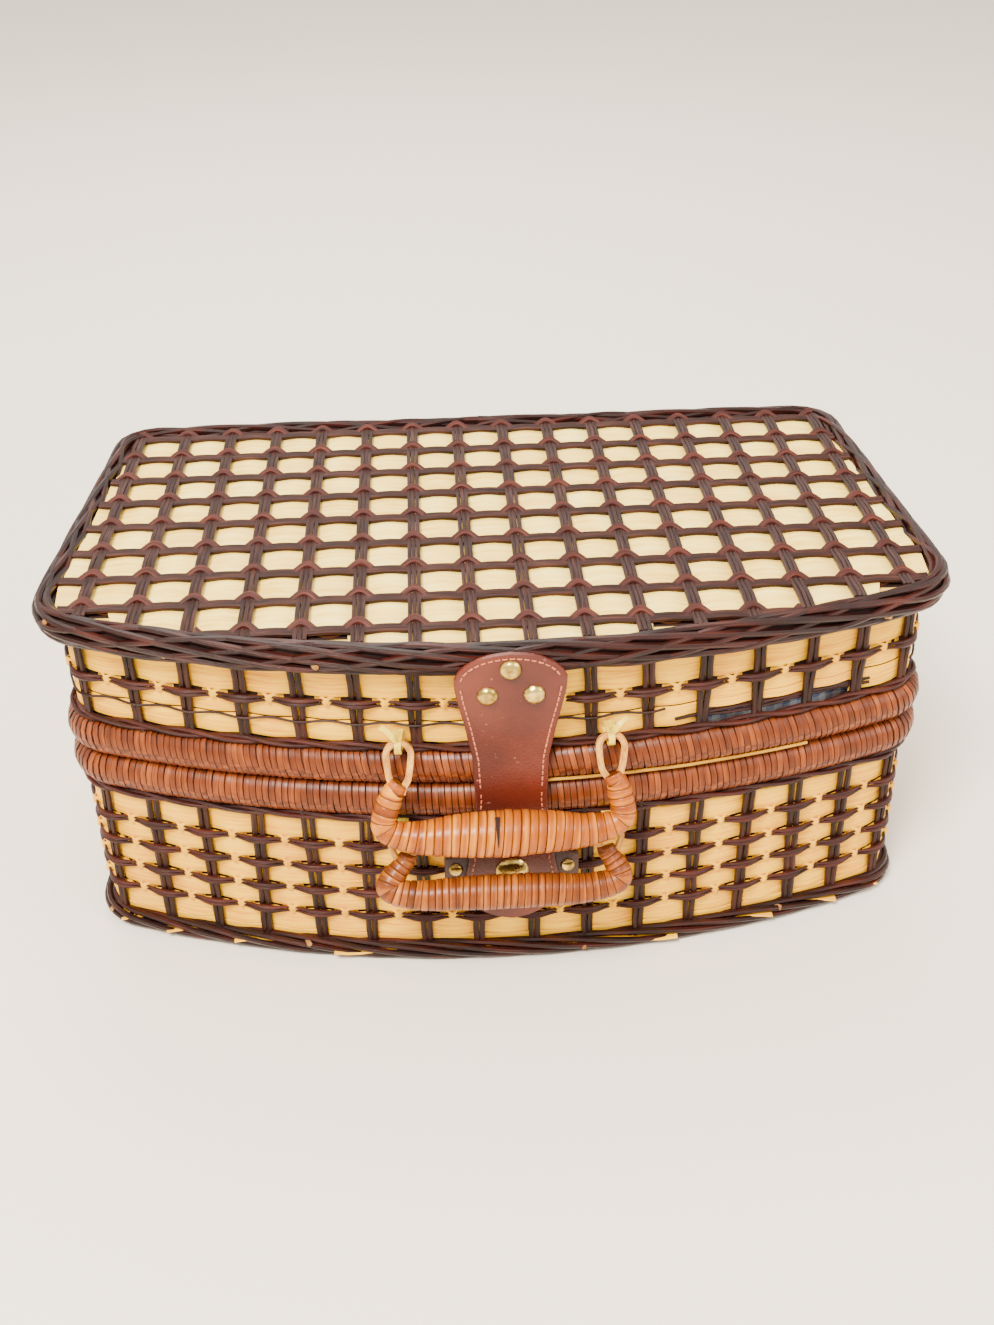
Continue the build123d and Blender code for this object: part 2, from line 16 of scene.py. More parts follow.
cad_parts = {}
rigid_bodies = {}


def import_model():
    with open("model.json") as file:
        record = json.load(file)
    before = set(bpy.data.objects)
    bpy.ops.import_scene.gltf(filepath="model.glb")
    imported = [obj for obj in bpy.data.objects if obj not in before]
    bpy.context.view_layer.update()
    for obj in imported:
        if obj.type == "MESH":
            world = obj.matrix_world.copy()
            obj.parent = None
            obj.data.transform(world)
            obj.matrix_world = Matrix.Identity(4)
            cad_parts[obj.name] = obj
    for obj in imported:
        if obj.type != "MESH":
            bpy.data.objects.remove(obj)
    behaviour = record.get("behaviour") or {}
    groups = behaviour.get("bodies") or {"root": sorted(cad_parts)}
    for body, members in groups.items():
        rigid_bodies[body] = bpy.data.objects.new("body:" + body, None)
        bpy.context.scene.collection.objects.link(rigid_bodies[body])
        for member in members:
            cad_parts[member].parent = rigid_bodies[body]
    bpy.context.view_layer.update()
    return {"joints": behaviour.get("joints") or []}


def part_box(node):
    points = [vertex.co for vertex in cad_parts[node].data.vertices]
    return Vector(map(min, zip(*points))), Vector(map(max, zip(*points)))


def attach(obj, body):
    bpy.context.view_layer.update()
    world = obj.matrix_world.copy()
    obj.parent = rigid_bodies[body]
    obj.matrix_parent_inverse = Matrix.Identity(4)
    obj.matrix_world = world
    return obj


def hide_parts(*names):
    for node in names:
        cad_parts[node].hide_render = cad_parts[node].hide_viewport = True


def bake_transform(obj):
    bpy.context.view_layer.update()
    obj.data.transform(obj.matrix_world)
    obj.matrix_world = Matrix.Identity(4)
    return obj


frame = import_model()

MM = 0.001
TAU = 2 * math.pi

# %% [markdown]
# ## The camera
#
# The photograph looks down at the front of the hamper from about 32 degrees. The camera stands
# where the top border, the rims and the foot all line up with it. Its lens follows from the focal
# length in pixels, because the sensor's width is the long side of the picture.

# %% Place the camera
border_low, border_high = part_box("lid_top_border")
FRONT_Y = border_low.y / MM
BACK_Y = border_high.y / MM
PHOTO_LONG_SIDE = 1325
FOCAL_PX = 1500
SENSOR = 36.0
CAMERA_AZIMUTH = math.radians(-2.554)
CAMERA_ELEVATION = math.radians(32.121)
CAMERA_ROLL = math.radians(-0.987)
CAMERA_FROM_FRONT = Vector((-30.3, -604.2, 579.6))


def camera_axes():
    """Right, up and backwards for the camera, with its roll."""
    a, e, r = CAMERA_AZIMUTH, CAMERA_ELEVATION, CAMERA_ROLL
    forward = Vector((-math.sin(a) * math.cos(e), math.cos(a) * math.cos(e), -math.sin(e)))
    level = Vector((math.cos(a), math.sin(a), 0))
    upright = level.cross(forward)
    right = math.cos(r) * level + math.sin(r) * upright
    up = -math.sin(r) * level + math.cos(r) * upright
    return right, up, -forward


scene = bpy.context.scene
camera_data = bpy.data.cameras.new("camera")
camera = bpy.data.objects.new("camera", camera_data)
scene.collection.objects.link(camera)
scene.camera = camera
camera_data.sensor_width = SENSOR
camera_data.lens = FOCAL_PX / PHOTO_LONG_SIDE * SENSOR
turn_to_view = Matrix(camera_axes()).transposed().to_4x4()
camera_place = (CAMERA_FROM_FRONT + Vector((0, FRONT_Y, 0))) * MM
camera.matrix_world = Matrix.Translation(camera_place) @ turn_to_view
print("camera at", tuple(round(v, 3) for v in camera_place), "lens", round(camera_data.lens, 2))

# %% [markdown]
# ## Floor and light
#
# The hamper stands on a plain warm-white floor under soft studio light: one wide lamp high in
# front on the left, a smaller one on the right, a soft one behind that lights the far floor, and a
# pale warm sky all round that fills the shadows.

# %% Make the floor, the sky and the lamps
FLOOR_COLOUR = (0.81, 0.725, 0.62)
SKY_COLOUR = (1.0, 0.94, 0.85)
SKY_STRENGTH = 1.75


def stage_floor():
    """A large plain sheet at height 0."""
    half = 6.0
    mesh = bpy.data.meshes.new("studio_floor")
    corners = [(-half, -half, 0), (half, -half, 0), (half, half, 0), (-half, half, 0)]
    mesh.from_pydata(corners, [], [(0, 1, 2, 3)])
    floor = bpy.data.objects.new("studio_floor", mesh)
    scene.collection.objects.link(floor)
    material = bpy.data.materials.new("studio_floor")
    material.use_nodes = True
    shader = material.node_tree.nodes["Principled BSDF"]
    shader.inputs["Base Color"].default_value = (*FLOOR_COLOUR, 1)
    shader.inputs["Roughness"].default_value = 0.9
    mesh.materials.append(material)


def lamp(name, place, target, size, power, colour=(1, 1, 1)):
    """A square area lamp that looks at a point. Places are in metres."""
    data = bpy.data.lights.new(name, "AREA")
    data.shape = "SQUARE"
    data.size = size
    data.energy = power
    data.color = colour
    lamp_object = bpy.data.objects.new(name, data)
    lamp_object.location = place
    direction = Vector(target) - Vector(place)
    lamp_object.rotation_euler = direction.to_track_quat("-Z", "Y").to_euler()
    scene.collection.objects.link(lamp_object)


stage_floor()
world = bpy.data.worlds.new("sky")
world.use_nodes = True
background = world.node_tree.nodes["Background"]
background.inputs["Color"].default_value = (*SKY_COLOUR, 1)
background.inputs["Strength"].default_value = SKY_STRENGTH
scene.world = world
lamp("key_lamp", (-0.5, -1.1, 1.7), (0, 0, 0.1), 0.6, 108, (1, 0.94, 0.84))
lamp("fill_lamp", (1.3, -0.7, 1.0), (0, 0, 0.1), 0.8, 17, (1, 0.96, 0.9))
lamp("back_lamp", (-0.2, 1.3, 1.7), (-0.1, 0.8, 0), 1.2, 42, (1, 0.95, 0.87))
print("stage made")

# %% [markdown]
# ## The plan outline
#
# Everything woven follows one outline: a straight back, slightly splayed sides and a front that
# bows out. It is worked out here from its few dimensions as points with outward directions, so a
# strand can run round it at any inset. The strands are counted in cells, from one stake to the
# next. The seam of every ring is in the middle of the back, where it is least seen.

# %% Work out the outline
HALF_BACK = 225.0
HALF_FRONT = 240.0
BOW = 52.0
BACK_CORNER_RADIUS = 28.0
FRONT_CORNER_RADIUS = 40.0
CELLS = 44
SPLINT_INSET = 15.0


def arc_points(centre, radius, start, end, step=0.5):
    """Points and outward directions of an arc, angles in radians."""
    count = max(2, int(abs(end - start) * radius / step))
    angles = np.linspace(start, end, count)
    outward = np.column_stack([np.cos(angles), np.sin(angles)])
    return np.array(centre) + radius * outward, outward


def half_outline():
    """The right half, from the middle of the front to the middle of the back."""
    bow_radius = (HALF_FRONT**2 + BOW**2) / (2 * BOW)
    bow_centre = np.array([0, FRONT_Y + bow_radius])
    front_end = np.array([HALF_FRONT, FRONT_Y + BOW])
    back_end = np.array([HALF_BACK, BACK_Y])
    along = (back_end - front_end) / np.linalg.norm(back_end - front_end)
    inward = np.array([-along[1], along[0]])

    def at_radius(radius):
        return front_end + inward * radius

    start = at_radius(FRONT_CORNER_RADIUS) - bow_centre
    half_b = start @ along
    rest = start @ start - (bow_radius - FRONT_CORNER_RADIUS) ** 2
    front_centre = start + bow_centre + along * (-half_b - math.sqrt(half_b**2 - rest))
    back_start = at_radius(BACK_CORNER_RADIUS)
    rise = (BACK_Y - BACK_CORNER_RADIUS - back_start[1]) / along[1]
    back_centre = back_start + along * rise
    leaving = math.atan2(*(front_centre - bow_centre)[::-1])
    side = math.atan2(*(-inward)[::-1])
    bow = arc_points(bow_centre, bow_radius, -math.pi / 2, leaving)
    front_corner = arc_points(front_centre, FRONT_CORNER_RADIUS, leaving, side)
    back_corner = arc_points(back_centre, BACK_CORNER_RADIUS, side, math.pi / 2)
    points = [bow, front_corner, back_corner]
    places = np.vstack([p for p, _ in points] + [[[0, BACK_Y]]])
    outward = np.vstack([o for _, o in points] + [[[0, 1]]])
    return places, outward


right_places, right_outward = half_outline()
mirror_x = np.array([-1.0, 1.0])
ring_places = np.vstack([(right_places * mirror_x)[::-1], right_places[1:]])
ring_outward = np.vstack([(right_outward * mirror_x)[::-1], right_outward[1:]])


def lengths(points):
    """The length of a line of points up to each of them."""
    return np.concatenate([[0], np.cumsum(np.linalg.norm(np.diff(points, axis=0), axis=1))])


on_splints = lengths(ring_places - ring_outward * SPLINT_INSET)
ring_cells = on_splints / on_splints[-1] * CELLS
CELL = on_splints[-1] / CELLS
print(f"outline {lengths(ring_places)[-1]:.0f} mm round, a cell is {CELL:.2f} mm")


def outline(cells, inset):
    """Places in the plan and outward directions, at places counted in cells from the back's middle."""
    xy = [np.interp(cells, ring_cells, ring_places[:, k]) for k in (0, 1)]
    out = [np.interp(cells, ring_cells, ring_outward[:, k]) for k in (0, 1)]
    out = np.column_stack(out)
    out /= np.linalg.norm(out, axis=1)[:, None]
    return np.column_stack(xy) - out * np.asarray(inset).reshape(-1, 1), out


# %% [markdown]
# ## Guides
#
# A guide is a bare line of points. It carries, for the nodes that follow it, how many cells it has
# run (turn), and two directions: out, away from the work, and up, across the strand. Several
# strands of one kind share a guide object.

# %% Helpers for meshes, guides and profiles
def mesh_object(name, vertices, edges=(), faces=()):
    """A plain mesh object from millimetre points."""
    mesh = bpy.data.meshes.new(name)
    mesh.from_pydata((np.asarray(vertices, float) * MM).tolist(), list(edges), list(faces))
    made = bpy.data.objects.new(name, mesh)
    scene.collection.objects.link(made)
    return made


def tube_faces(rings, around, start=0):
    """The faces between rings of points that follow each other, each closed on itself."""
    faces = []
    for ring in range(rings - 1):
        for k in range(around):
            a, b = start + ring * around + k, start + ring * around + (k + 1) % around
            faces.append((a, b, b + around, a + around))
    return faces


def ring_face(ring, around):
    """The face that closes a tube at one ring of points."""
    return tuple(range(ring * around, (ring + 1) * around))


def carry(made, label, values):
    """Stores a number or a direction on every vertex."""
    values = np.asarray(values, float)
    kind = "FLOAT_VECTOR" if values.ndim == 2 else "FLOAT"
    attribute = made.data.attributes.new(label, kind, "POINT")
    attribute.data.foreach_set("vector" if values.ndim == 2 else "value", values.ravel())


def guide(lines, linked=True):
    """One guide object of several lines. Each is a dict of points, turn, out and up."""
    points, edges, start = [], [], 0
    for line in lines:
        count = len(line["points"])
        points.append(line["points"])
        if linked:
            edges += [(start + k, start + k + 1) for k in range(count - 1)]
        start += count
    made = mesh_object("guide", np.vstack(points), edges)
    for label in ("turn", "out", "up"):
        carry(made, label, np.concatenate([line[label] for line in lines]))
    counts = [len(run) for run in points]
    carry(made, "size", np.concatenate([line.get("size", np.ones(n)) for n, line in zip(counts, lines)]))
    carry(made, "line", np.repeat(np.arange(len(lines)), counts))
    return made


def level_line(turn, places, out, height):
    """A guide of places in the plan at one height or at several. Its up is straight up."""
    flat = np.zeros(len(turn))
    return {
        "points": np.column_stack([places, flat + height]),
        "turn": turn,
        "out": np.column_stack([out, flat]),
        "up": np.tile([0.0, 0.0, 1.0], (len(turn), 1)),
    }


def ring_line(inset, height, samples=8, first=0.0, last=CELLS):
    """A line round the plan at one height, with some samples a cell."""
    turn = np.linspace(first, last, int((last - first) * samples) + 1)
    return level_line(turn, *outline(turn, inset), height)


def profile(points):
    """A closed cross-section in millimetres: x is out, y is up."""
    points = np.asarray(points, float)
    count = len(points)
    edges = [(k, (k + 1) % count) for k in range(count)]
    made = mesh_object("profile", np.column_stack([points, np.zeros(count)]), edges)
    carry(made, "around", np.arange(count) / count)
    return made


def round_profile(radius, sides=7, flat=1.0):
    """A round rod, or a flattened one, as a profile."""
    angles = np.arange(sides) / sides * TAU
    return profile(np.column_stack([np.cos(angles) * radius * flat, np.sin(angles) * radius]))


def flat_profile(thick, high, edge):
    """A flat splint whose corners are cut: thick is its depth, high its width."""
    x, y = thick / 2, high / 2
    cut = min(edge, x)
    corners = [(x, -y + edge), (x, y - edge), (x - cut, y), (-x, y), (-x, -y), (x - cut, -y)]
    return profile(corners)


# %% [markdown]
# ## Two node trees that make the weave
#
# A woven strand repeats the same wave in every cell, so one tree makes them all: it copies each
# guide once for each strand, moves the copies in and out and up and down in a wave, and sweeps a
# cross-section along them. A twist is the same wave with a quarter turn between in-out and
# up-down. The second tree sets copies of one small piece, such as a stake, a turn of lapping, a
# stitch or a rivet, on the points of a guide.

# %% A small helper for geometry nodes
SOCKETS = {
    float: "NodeSocketFloat",
    int: "NodeSocketInt",
    bpy.types.Object: "NodeSocketObject",
    bpy.types.Material: "NodeSocketMaterial",
}


class Tree:
    """A geometry-node tree with named inputs. add() makes a node and fills its inputs in order."""

    def __init__(self, name, **inputs):
        self.group = bpy.data.node_groups.new(name, "GeometryNodeTree")
        sides = self.group.interface
        sides.new_socket("Geometry", in_out="OUTPUT", socket_type="NodeSocketGeometry")
        sides.new_socket("Geometry", in_out="INPUT", socket_type="NodeSocketGeometry")
        for label, kind in inputs.items():
            sides.new_socket(label, in_out="INPUT", socket_type=SOCKETS[kind])
        self.given = self.group.nodes.new("NodeGroupInput").outputs

    def add(self, kind, *values, output=0, **settings):
        node = self.group.nodes.new(kind)
        for label, value in settings.items():
            setattr(node, label, value)
        open_inputs = [socket for socket in node.inputs if socket.enabled]
        for socket, value in zip(open_inputs, values):
            if isinstance(value, bpy.types.NodeSocket):
                self.group.links.new(value, socket)
            elif value is not None:
                socket.default_value = value
        return [socket for socket in node.outputs if socket.enabled][output]

    def math(self, operation, *values):
        return self.add("ShaderNodeMath", *values, operation=operation)

    def scaled(self, direction, amount):
        """A direction times a number."""
        node = self.group.nodes.new("ShaderNodeVectorMath")
        node.operation = "SCALE"
        self.group.links.new(direction, node.inputs["Vector"])
        self.group.links.new(amount, node.inputs["Scale"])
        return node.outputs[0]

    def stored(self, label, kind="FLOAT"):
        return self.add("GeometryNodeInputNamedAttribute", label, data_type=kind)

    def store(self, geometry, label, value, kind="FLOAT", domain="POINT"):
        """Leaves a value on the geometry, for a later node or for a material."""
        return self.add("GeometryNodeStoreNamedAttribute", geometry, None, label, value, data_type=kind,
                        domain=domain)

    def section(self):
        """The curve of the Profile object."""
        profile_mesh = self.add("GeometryNodeObjectInfo", self.given["Profile"], output=4)
        return self.add("GeometryNodeMeshToCurve", profile_mesh)

    def end(self, geometry, material):
        geometry = self.add("GeometryNodeRealizeInstances", geometry)
        geometry = self.add("GeometryNodeSetMaterial", geometry, None, material)
        finish = self.group.nodes.new("NodeGroupOutput")
        self.group.links.new(geometry, finish.inputs[0])
        return self.group


# %% The tree that sweeps waving strands
def strand_tree():
    tree = Tree(
        "waving_strands", Strands=int, Waves=float, Out=float, Up=float, UpPhase=float, Sharp=float,
        SharpUp=float, Swell=float, Jitter=float, JitterScale=float, Seed=float,
        Profile=bpy.types.Object, Material=bpy.types.Material
    )
    given = tree.given
    lines = tree.add("GeometryNodeMeshToCurve", given["Geometry"])
    copies = tree.group.nodes.new("GeometryNodeDuplicateElements")
    copies.domain = "SPLINE"
    tree.group.links.new(lines, copies.inputs["Geometry"])
    tree.group.links.new(given["Strands"], copies.inputs["Amount"])
    index = copies.outputs["Duplicate Index"]
    share = tree.math("DIVIDE", index, given["Strands"])
    waves = tree.math("MULTIPLY_ADD", tree.stored("turn"), given["Waves"], share)
    angle = tree.math("MULTIPLY", waves, TAU)
    wave = tree.math("COSINE", angle)

    def sharpened(turned, power):
        """A wave from -1 to 1 with short tops: 1 leaves it as it is, more makes them shorter."""
        share = tree.math("MULTIPLY_ADD", turned, 0.5, 0.5)
        return tree.math("MULTIPLY_ADD", tree.math("POWER", share, power), 2.0, -1.0)

    side = sharpened(wave, given["Sharp"])
    up_angle = tree.math("MULTIPLY_ADD", given["UpPhase"], TAU, angle)
    lift = sharpened(tree.math("COSINE", up_angle), given["SharpUp"])
    spread = tree.math("ADD", tree.math("MULTIPLY_ADD", tree.stored("line"), 3.7, index), given["Seed"])

    def wander(shift):
        """A slow random drift, so that no strand is perfect."""
        seed = tree.math("ADD", spread, shift)
        place = tree.add("GeometryNodeInputPosition")
        noise = tree.add("ShaderNodeTexNoise", place, seed, given["JitterScale"], 1.0, noise_dimensions="4D")
        return tree.math("MULTIPLY", tree.math("SUBTRACT", noise, 0.5), given["Jitter"])

    outward, upward = tree.stored("out", "FLOAT_VECTOR"), tree.stored("up", "FLOAT_VECTOR")
    out = tree.scaled(outward, tree.math("MULTIPLY_ADD", side, given["Out"], wander(11.0)))
    up = tree.scaled(upward, tree.math("MULTIPLY_ADD", lift, given["Up"], wander(47.0)))
    move = tree.add("ShaderNodeVectorMath", out, up, operation="ADD")
    moved = tree.add("GeometryNodeSetPosition", copies.outputs["Geometry"], None, None, move)
    tinted = tree.store(moved, "strand", spread)
    turned = tree.add("GeometryNodeSetCurveNormal", tinted, None, outward, mode="FREE")
    scale = tree.math("MULTIPLY_ADD", wave, given["Swell"], 1.0)
    swept = tree.add("GeometryNodeCurveToMesh", turned, tree.section(), scale, True)
    return tree.end(swept, given["Material"])


STRANDS = strand_tree()


# %% The tree that sets copies of a piece on points
def setting_tree():
    tree = Tree(
        "pieces_on_points", Tilt=float, Spin=float, Size=float, Lean=float, Seed=int,
        Piece=bpy.types.Object, Material=bpy.types.Material
    )
    given = tree.given
    piece = tree.add("GeometryNodeObjectInfo", given["Piece"], output=4)
    facing = tree.add(
        "FunctionNodeAxesToRotation", tree.stored("out", "FLOAT_VECTOR"), tree.stored("up", "FLOAT_VECTOR"),
        primary_axis="X", secondary_axis="Z"
    )

    def chance(shift, low, high):
        seed = tree.math("ADD", given["Seed"], shift)
        return tree.add("FunctionNodeRandomValue", low, high, None, seed, data_type="FLOAT")

    lean = tree.math("MULTIPLY_ADD", chance(1, -1.0, 1.0), given["Tilt"], given["Lean"])
    spin = tree.math("MULTIPLY", chance(2, -1.0, 1.0), given["Spin"])
    extra = tree.add("ShaderNodeCombineXYZ", lean, 0.0, spin)
    turned = tree.add("FunctionNodeRotateRotation", facing, extra, rotation_space="LOCAL")
    size = tree.math("MULTIPLY_ADD", chance(3, -1.0, 1.0), given["Size"], 1.0)
    size = tree.math("MULTIPLY", size, tree.stored("size"))
    points = given["Geometry"]
    placed = tree.add("GeometryNodeInstanceOnPoints", points, None, piece, None, None, turned, size)
    placed = tree.store(placed, "strand", chance(4, 0.0, 40.0), domain="INSTANCE")
    return tree.end(placed, given["Material"])


SETTING = setting_tree()


# %% Run a tree and keep its result as a plain mesh
def run_tree(name, lines, group, material, smooth=40, **values):
    """Puts the guide through the tree. Returns a plain mesh object; the guide is used up."""
    modifier = lines.modifiers.new("made", "NODES")
    modifier.node_group = group
    for item in group.interface.items_tree:
        if item.in_out == "INPUT" and item.name in values:
            modifier[item.identifier] = values[item.name]
        elif item.in_out == "INPUT" and item.name == "Material":
            modifier[item.identifier] = material
    evaluated = lines.evaluated_get(bpy.context.evaluated_depsgraph_get())
    mesh = bpy.data.meshes.new_from_object(evaluated)
    lines.modifiers.remove(modifier)
    mesh.name = name
    bpy.data.objects.remove(lines)
    made = bpy.data.objects.new(name, mesh)
    scene.collection.objects.link(made)
    return shaded(made, smooth)


def shaded(made, smooth, material=None):
    """Shades an object smooth up to an angle in degrees, and can give it a material."""
    made.data.shade_smooth()
    made.data.set_sharp_from_angle(angle=math.radians(smooth))
    if material:
        made.data.materials.append(material)
    return made


def hang(made, body, note=""):
    """Lets a made piece ride on a body, and prints what it is."""
    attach(made, body)
    print(f"{made.name}: {note}{sum(len(p.vertices) - 2 for p in made.data.polygons)} triangles")
    return made


def strands(name, lines, section, material, body, **values):
    """Sweeps waving strands along guide lines and hangs them on a body. Lengths are in mm."""
    settings = dict(Strands=1, Waves=1.0, Out=0.0, Up=0.0, UpPhase=0.0, Sharp=1.0, SharpUp=1.0, Swell=0.0,
                    Jitter=0.0, JitterScale=30.0, Seed=1.0)
    settings.update(values)
    for label in ("Out", "Up", "Jitter"):
        settings[label] = settings[label] * MM
    made = run_tree(name, guide(lines), STRANDS, material, Profile=section, **settings)
    bpy.data.objects.remove(section)
    return hang(made, body)


def set_pieces(name, points, piece, material, body, **values):
    """Sets copies of a piece on points and hangs them on a body."""
    settings = dict(Tilt=0.0, Spin=0.0, Size=0.0, Lean=0.0, Seed=1)
    settings.update(values)
    made = run_tree(name, guide(points, linked=False), SETTING, material, Piece=piece, **settings)
    bpy.data.objects.remove(piece)
    return hang(made, body)

# %% [markdown]
# ## Materials of the weave
#
# Split cane and willow rods have fibres that run along the strand. The grain is a noise that is
# stretched along it: it reads the turn and the place around the strand that the nodes left on
# the mesh, so it bends with the strand. A slower noise gives each strand and each cell its own
# tint. The same builder makes every cane and rod with other colours, gloss and grain.

# %% Build fibre materials
def linear(red, green, blue):
    """A colour from its 0 to 255 screen values."""
    shares = [value / 255 for value in (red, green, blue)]
    return tuple(v / 12.92 if v <= 0.04045 else ((v + 0.055) / 1.055) ** 2.4 for v in shares) + (1.0,)


class Shading:
    """A material's node tree with a helper to add nodes."""

    def __init__(self, name):
        self.material = bpy.data.materials.new(name)
        self.material.use_nodes = True
        self.tree = self.material.node_tree
        self.shader = self.tree.nodes["Principled BSDF"]

    def add(self, kind, inputs=None, output=0, **settings):
        node = self.tree.nodes.new(kind)
        for label, value in settings.items():
            setattr(node, label, value)
        for label, value in (inputs or {}).items():
            if isinstance(value, bpy.types.NodeSocket):
                self.tree.links.new(value, node.inputs[label])
            else:
                node.inputs[label].default_value = value
        return node.outputs[output]

    def math(self, operation, a, b):
        return self.add("ShaderNodeMath", {0: a, 1: b}, operation=operation)

    def attribute(self, label):
        return self.add("ShaderNodeAttribute", output=2, attribute_name=label)

    def noise(self, vector, scale, detail=2.0, roughness=0.5):
        values = {"Vector": vector, "Scale": scale, "Detail": detail, "Roughness": roughness}
        return self.add("ShaderNodeTexNoise", values)

    def ramp(self, factor, *stops):
        node = self.tree.nodes.new("ShaderNodeValToRGB")
        self.tree.links.new(factor, node.inputs[0])
        elements = node.color_ramp.elements
        while len(elements) < len(stops):
            elements.new(0.5)
        for element, (position, colour) in zip(elements, stops):
            element.position = position
            element.color = colour
        return node.outputs[0]

    def mix(self, factor, a, b):
        node = self.tree.nodes.new("ShaderNodeMix")
        node.data_type = "RGBA"
        for socket, value in ((node.inputs[0], factor), (node.inputs[6], a), (node.inputs[7], b)):
            if isinstance(value, bpy.types.NodeSocket):
                self.tree.links.new(value, socket)
            else:
                socket.default_value = value
        return node.outputs[2]

    def finish(self, colour, roughness, bump_height=None, bump_depth=0.0, **constants):
        """Links the colour, roughness and bump, and sets constants on the shader's own sockets."""
        self.tree.links.new(colour, self.shader.inputs["Base Color"])
        if isinstance(roughness, bpy.types.NodeSocket):
            self.tree.links.new(roughness, self.shader.inputs["Roughness"])
        else:
            self.shader.inputs["Roughness"].default_value = roughness
        if bump_height is not None:
            values = {"Height": bump_height, "Distance": bump_depth * MM, "Strength": 1.0}
            bump = self.add("ShaderNodeBump", values)
            self.tree.links.new(bump, self.shader.inputs["Normal"])
        for label, value in constants.items():
            self.shader.inputs[label.replace("_", " ")].default_value = value
        return self.material


def fibre(name, dark, middle, light, grain, tint, roughness, bump, coat=0.0, stain=None, stain_amount=0.0,
          groove_shade=0.0):
    """Cane or willow: dark, middle and light are screen colours along its grain."""
    look = Shading(name)
    turn, around, strand = (look.attribute(label) for label in ("turn", "around", "strand"))
    along = look.math("MULTIPLY", turn, grain[0])
    across = look.math("MULTIPLY", around, grain[1])
    aside = look.math("MULTIPLY", strand, 7.31)
    place = look.add("ShaderNodeCombineXYZ", {0: along, 1: across, 2: aside})
    fibres = look.noise(place, 1.0, 3.0, 0.6)
    cell_place = look.add("ShaderNodeCombineXYZ", {0: turn, 1: look.math("MULTIPLY", around, 0.4), 2: aside})
    cells = look.noise(cell_place, 1.1, 1.0)
    blend = look.add("ShaderNodeMix", {0: tint, 2: fibres, 3: cells})
    colour = look.ramp(blend, (0.30, linear(*dark)), (0.5, linear(*middle)), (0.70, linear(*light)))
    if stain:
        spot = look.noise(look.add("ShaderNodeTexCoord", output=3), 38.0, 2.0)
        amount = look.add("ShaderNodeMapRange", {0: spot, 1: 0.5, 2: 0.7})
        colour = look.mix(look.math("MULTIPLY", amount, stain_amount), colour, linear(*stain))
    # Painted shade: where the edge attribute is high, at a strip's edges next to the groove between turns,
    # the colour is darkened towards a third of the dark colour.
    if groove_shade:
        edge = look.math("MULTIPLY", look.attribute("edge"), groove_shade)
        colour = look.mix(edge, colour, linear(*(value * 0.3 for value in dark)))
    rough = look.add("ShaderNodeMapRange", {0: fibres, 1: 0.3, 2: 0.7, 3: roughness[1], 4: roughness[0]})
    constants = {"Specular_IOR_Level": 0.22}
    if coat:
        constants.update(Coat_Weight=coat, Coat_Roughness=0.25)
    return look.finish(colour, rough, fibres, bump, **constants)


SPLINT = fibre("split_cane", (208, 126, 8), (242, 176, 18), (252, 203, 40), (1.1, 64.0), 0.3, (0.45, 0.65),
               0.12, stain=(196, 130, 56), stain_amount=0.3)
TOP_SPLINT = fibre("bleached_split_cane", (216, 164, 56), (244, 208, 98), (252, 230, 142), (1.1, 60.0), 0.4,
                   (0.5, 0.7), 0.12, stain=(222, 178, 100), stain_amount=0.5)
STAKE_ROD = fibre("mauve_brown_rod", (12, 4, 3), (35, 12, 7), (64, 26, 16), (1.6, 5.0), 0.4, (0.35, 0.55),
                  0.2, coat=0.05)
DASH_ROD = fibre("rosy_brown_rod", (16, 4, 3), (47, 15, 10), (82, 33, 22), (1.6, 5.0), 0.4, (0.35, 0.55), 0.2,
                 coat=0.05)
BORDER_ROD = fibre("dark_red_brown_rod", (12, 3, 3), (32, 8, 5), (70, 24, 14), (1.2, 5.0), 0.45, (0.3, 0.5),
                   0.22, coat=0.08)
TOP_ROD = fibre("grey_brown_rod", (16, 6, 4), (42, 18, 14), (72, 40, 32), (1.4, 5.0), 0.4, (0.4, 0.6), 0.2,
                coat=0.03)
ARCH_ROD = fibre("reddish_arch_rod", (25, 7, 4), (60, 22, 16), (94, 44, 32), (1.4, 5.0), 0.4, (0.4, 0.6), 0.2,
                 coat=0.03)
# Painted shade: a dark material for strips, fillings and sheets set where only shadow shows, in gaps and
# behind the weave.
SHADE = fibre("dark_inner_strand", (20, 9, 8), (36, 17, 14), (56, 28, 22), (1.5, 5.0), 0.4, (0.7, 0.9), 0.1)
print("fibre materials:", len([m for m in bpy.data.materials if m.name.endswith(("cane", "rod"))]))

# %% [markdown]
# ## The base's wall
#
# Seen close, the wall has five rows of flat pale splints. They run round behind the stakes, so
# each cell bows out a little between two stakes. Between the rows, a narrow pale link comes to
# the front in the middle of each cell. A pair of dark rods comes to the front over each stake and
# ducks behind the links on both sides of it.

# %% Heights of the base's rows, from the frame, and the inset of each layer of the weave
RODS_IN = 12.6
STAKES_IN = 13.6
LINKS_IN = 15.0
SPLINTS_IN = 15.6
# The painted shade strips lie deepest, behind the splints.
SHADE_STRIPS_IN = 17.2
FOOT_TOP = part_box("base_foot_border")[1].z / MM
PARTING = (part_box("base_rim_outer_hoop")[1].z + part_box("lid_rim_outer_hoop")[0].z) / 2 / MM
BASE_RIM_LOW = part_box("base_rim_outer_hoop")[0].z / MM
LID_RIM_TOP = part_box("lid_rim_outer_hoop")[1].z / MM
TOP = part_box("lid_top_border")[1].z / MM
BORDER_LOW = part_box("lid_top_border")[0].z / MM
ROW_PITCH = 16.0
BASE_DASHES = [FOOT_TOP + ROW_PITCH * (k + 1) for k in range(4)]
SPLINT_HIGH = 14.0
LINK_HIGH = 4.8
BASE_TWINE = BASE_RIM_LOW - 2.5


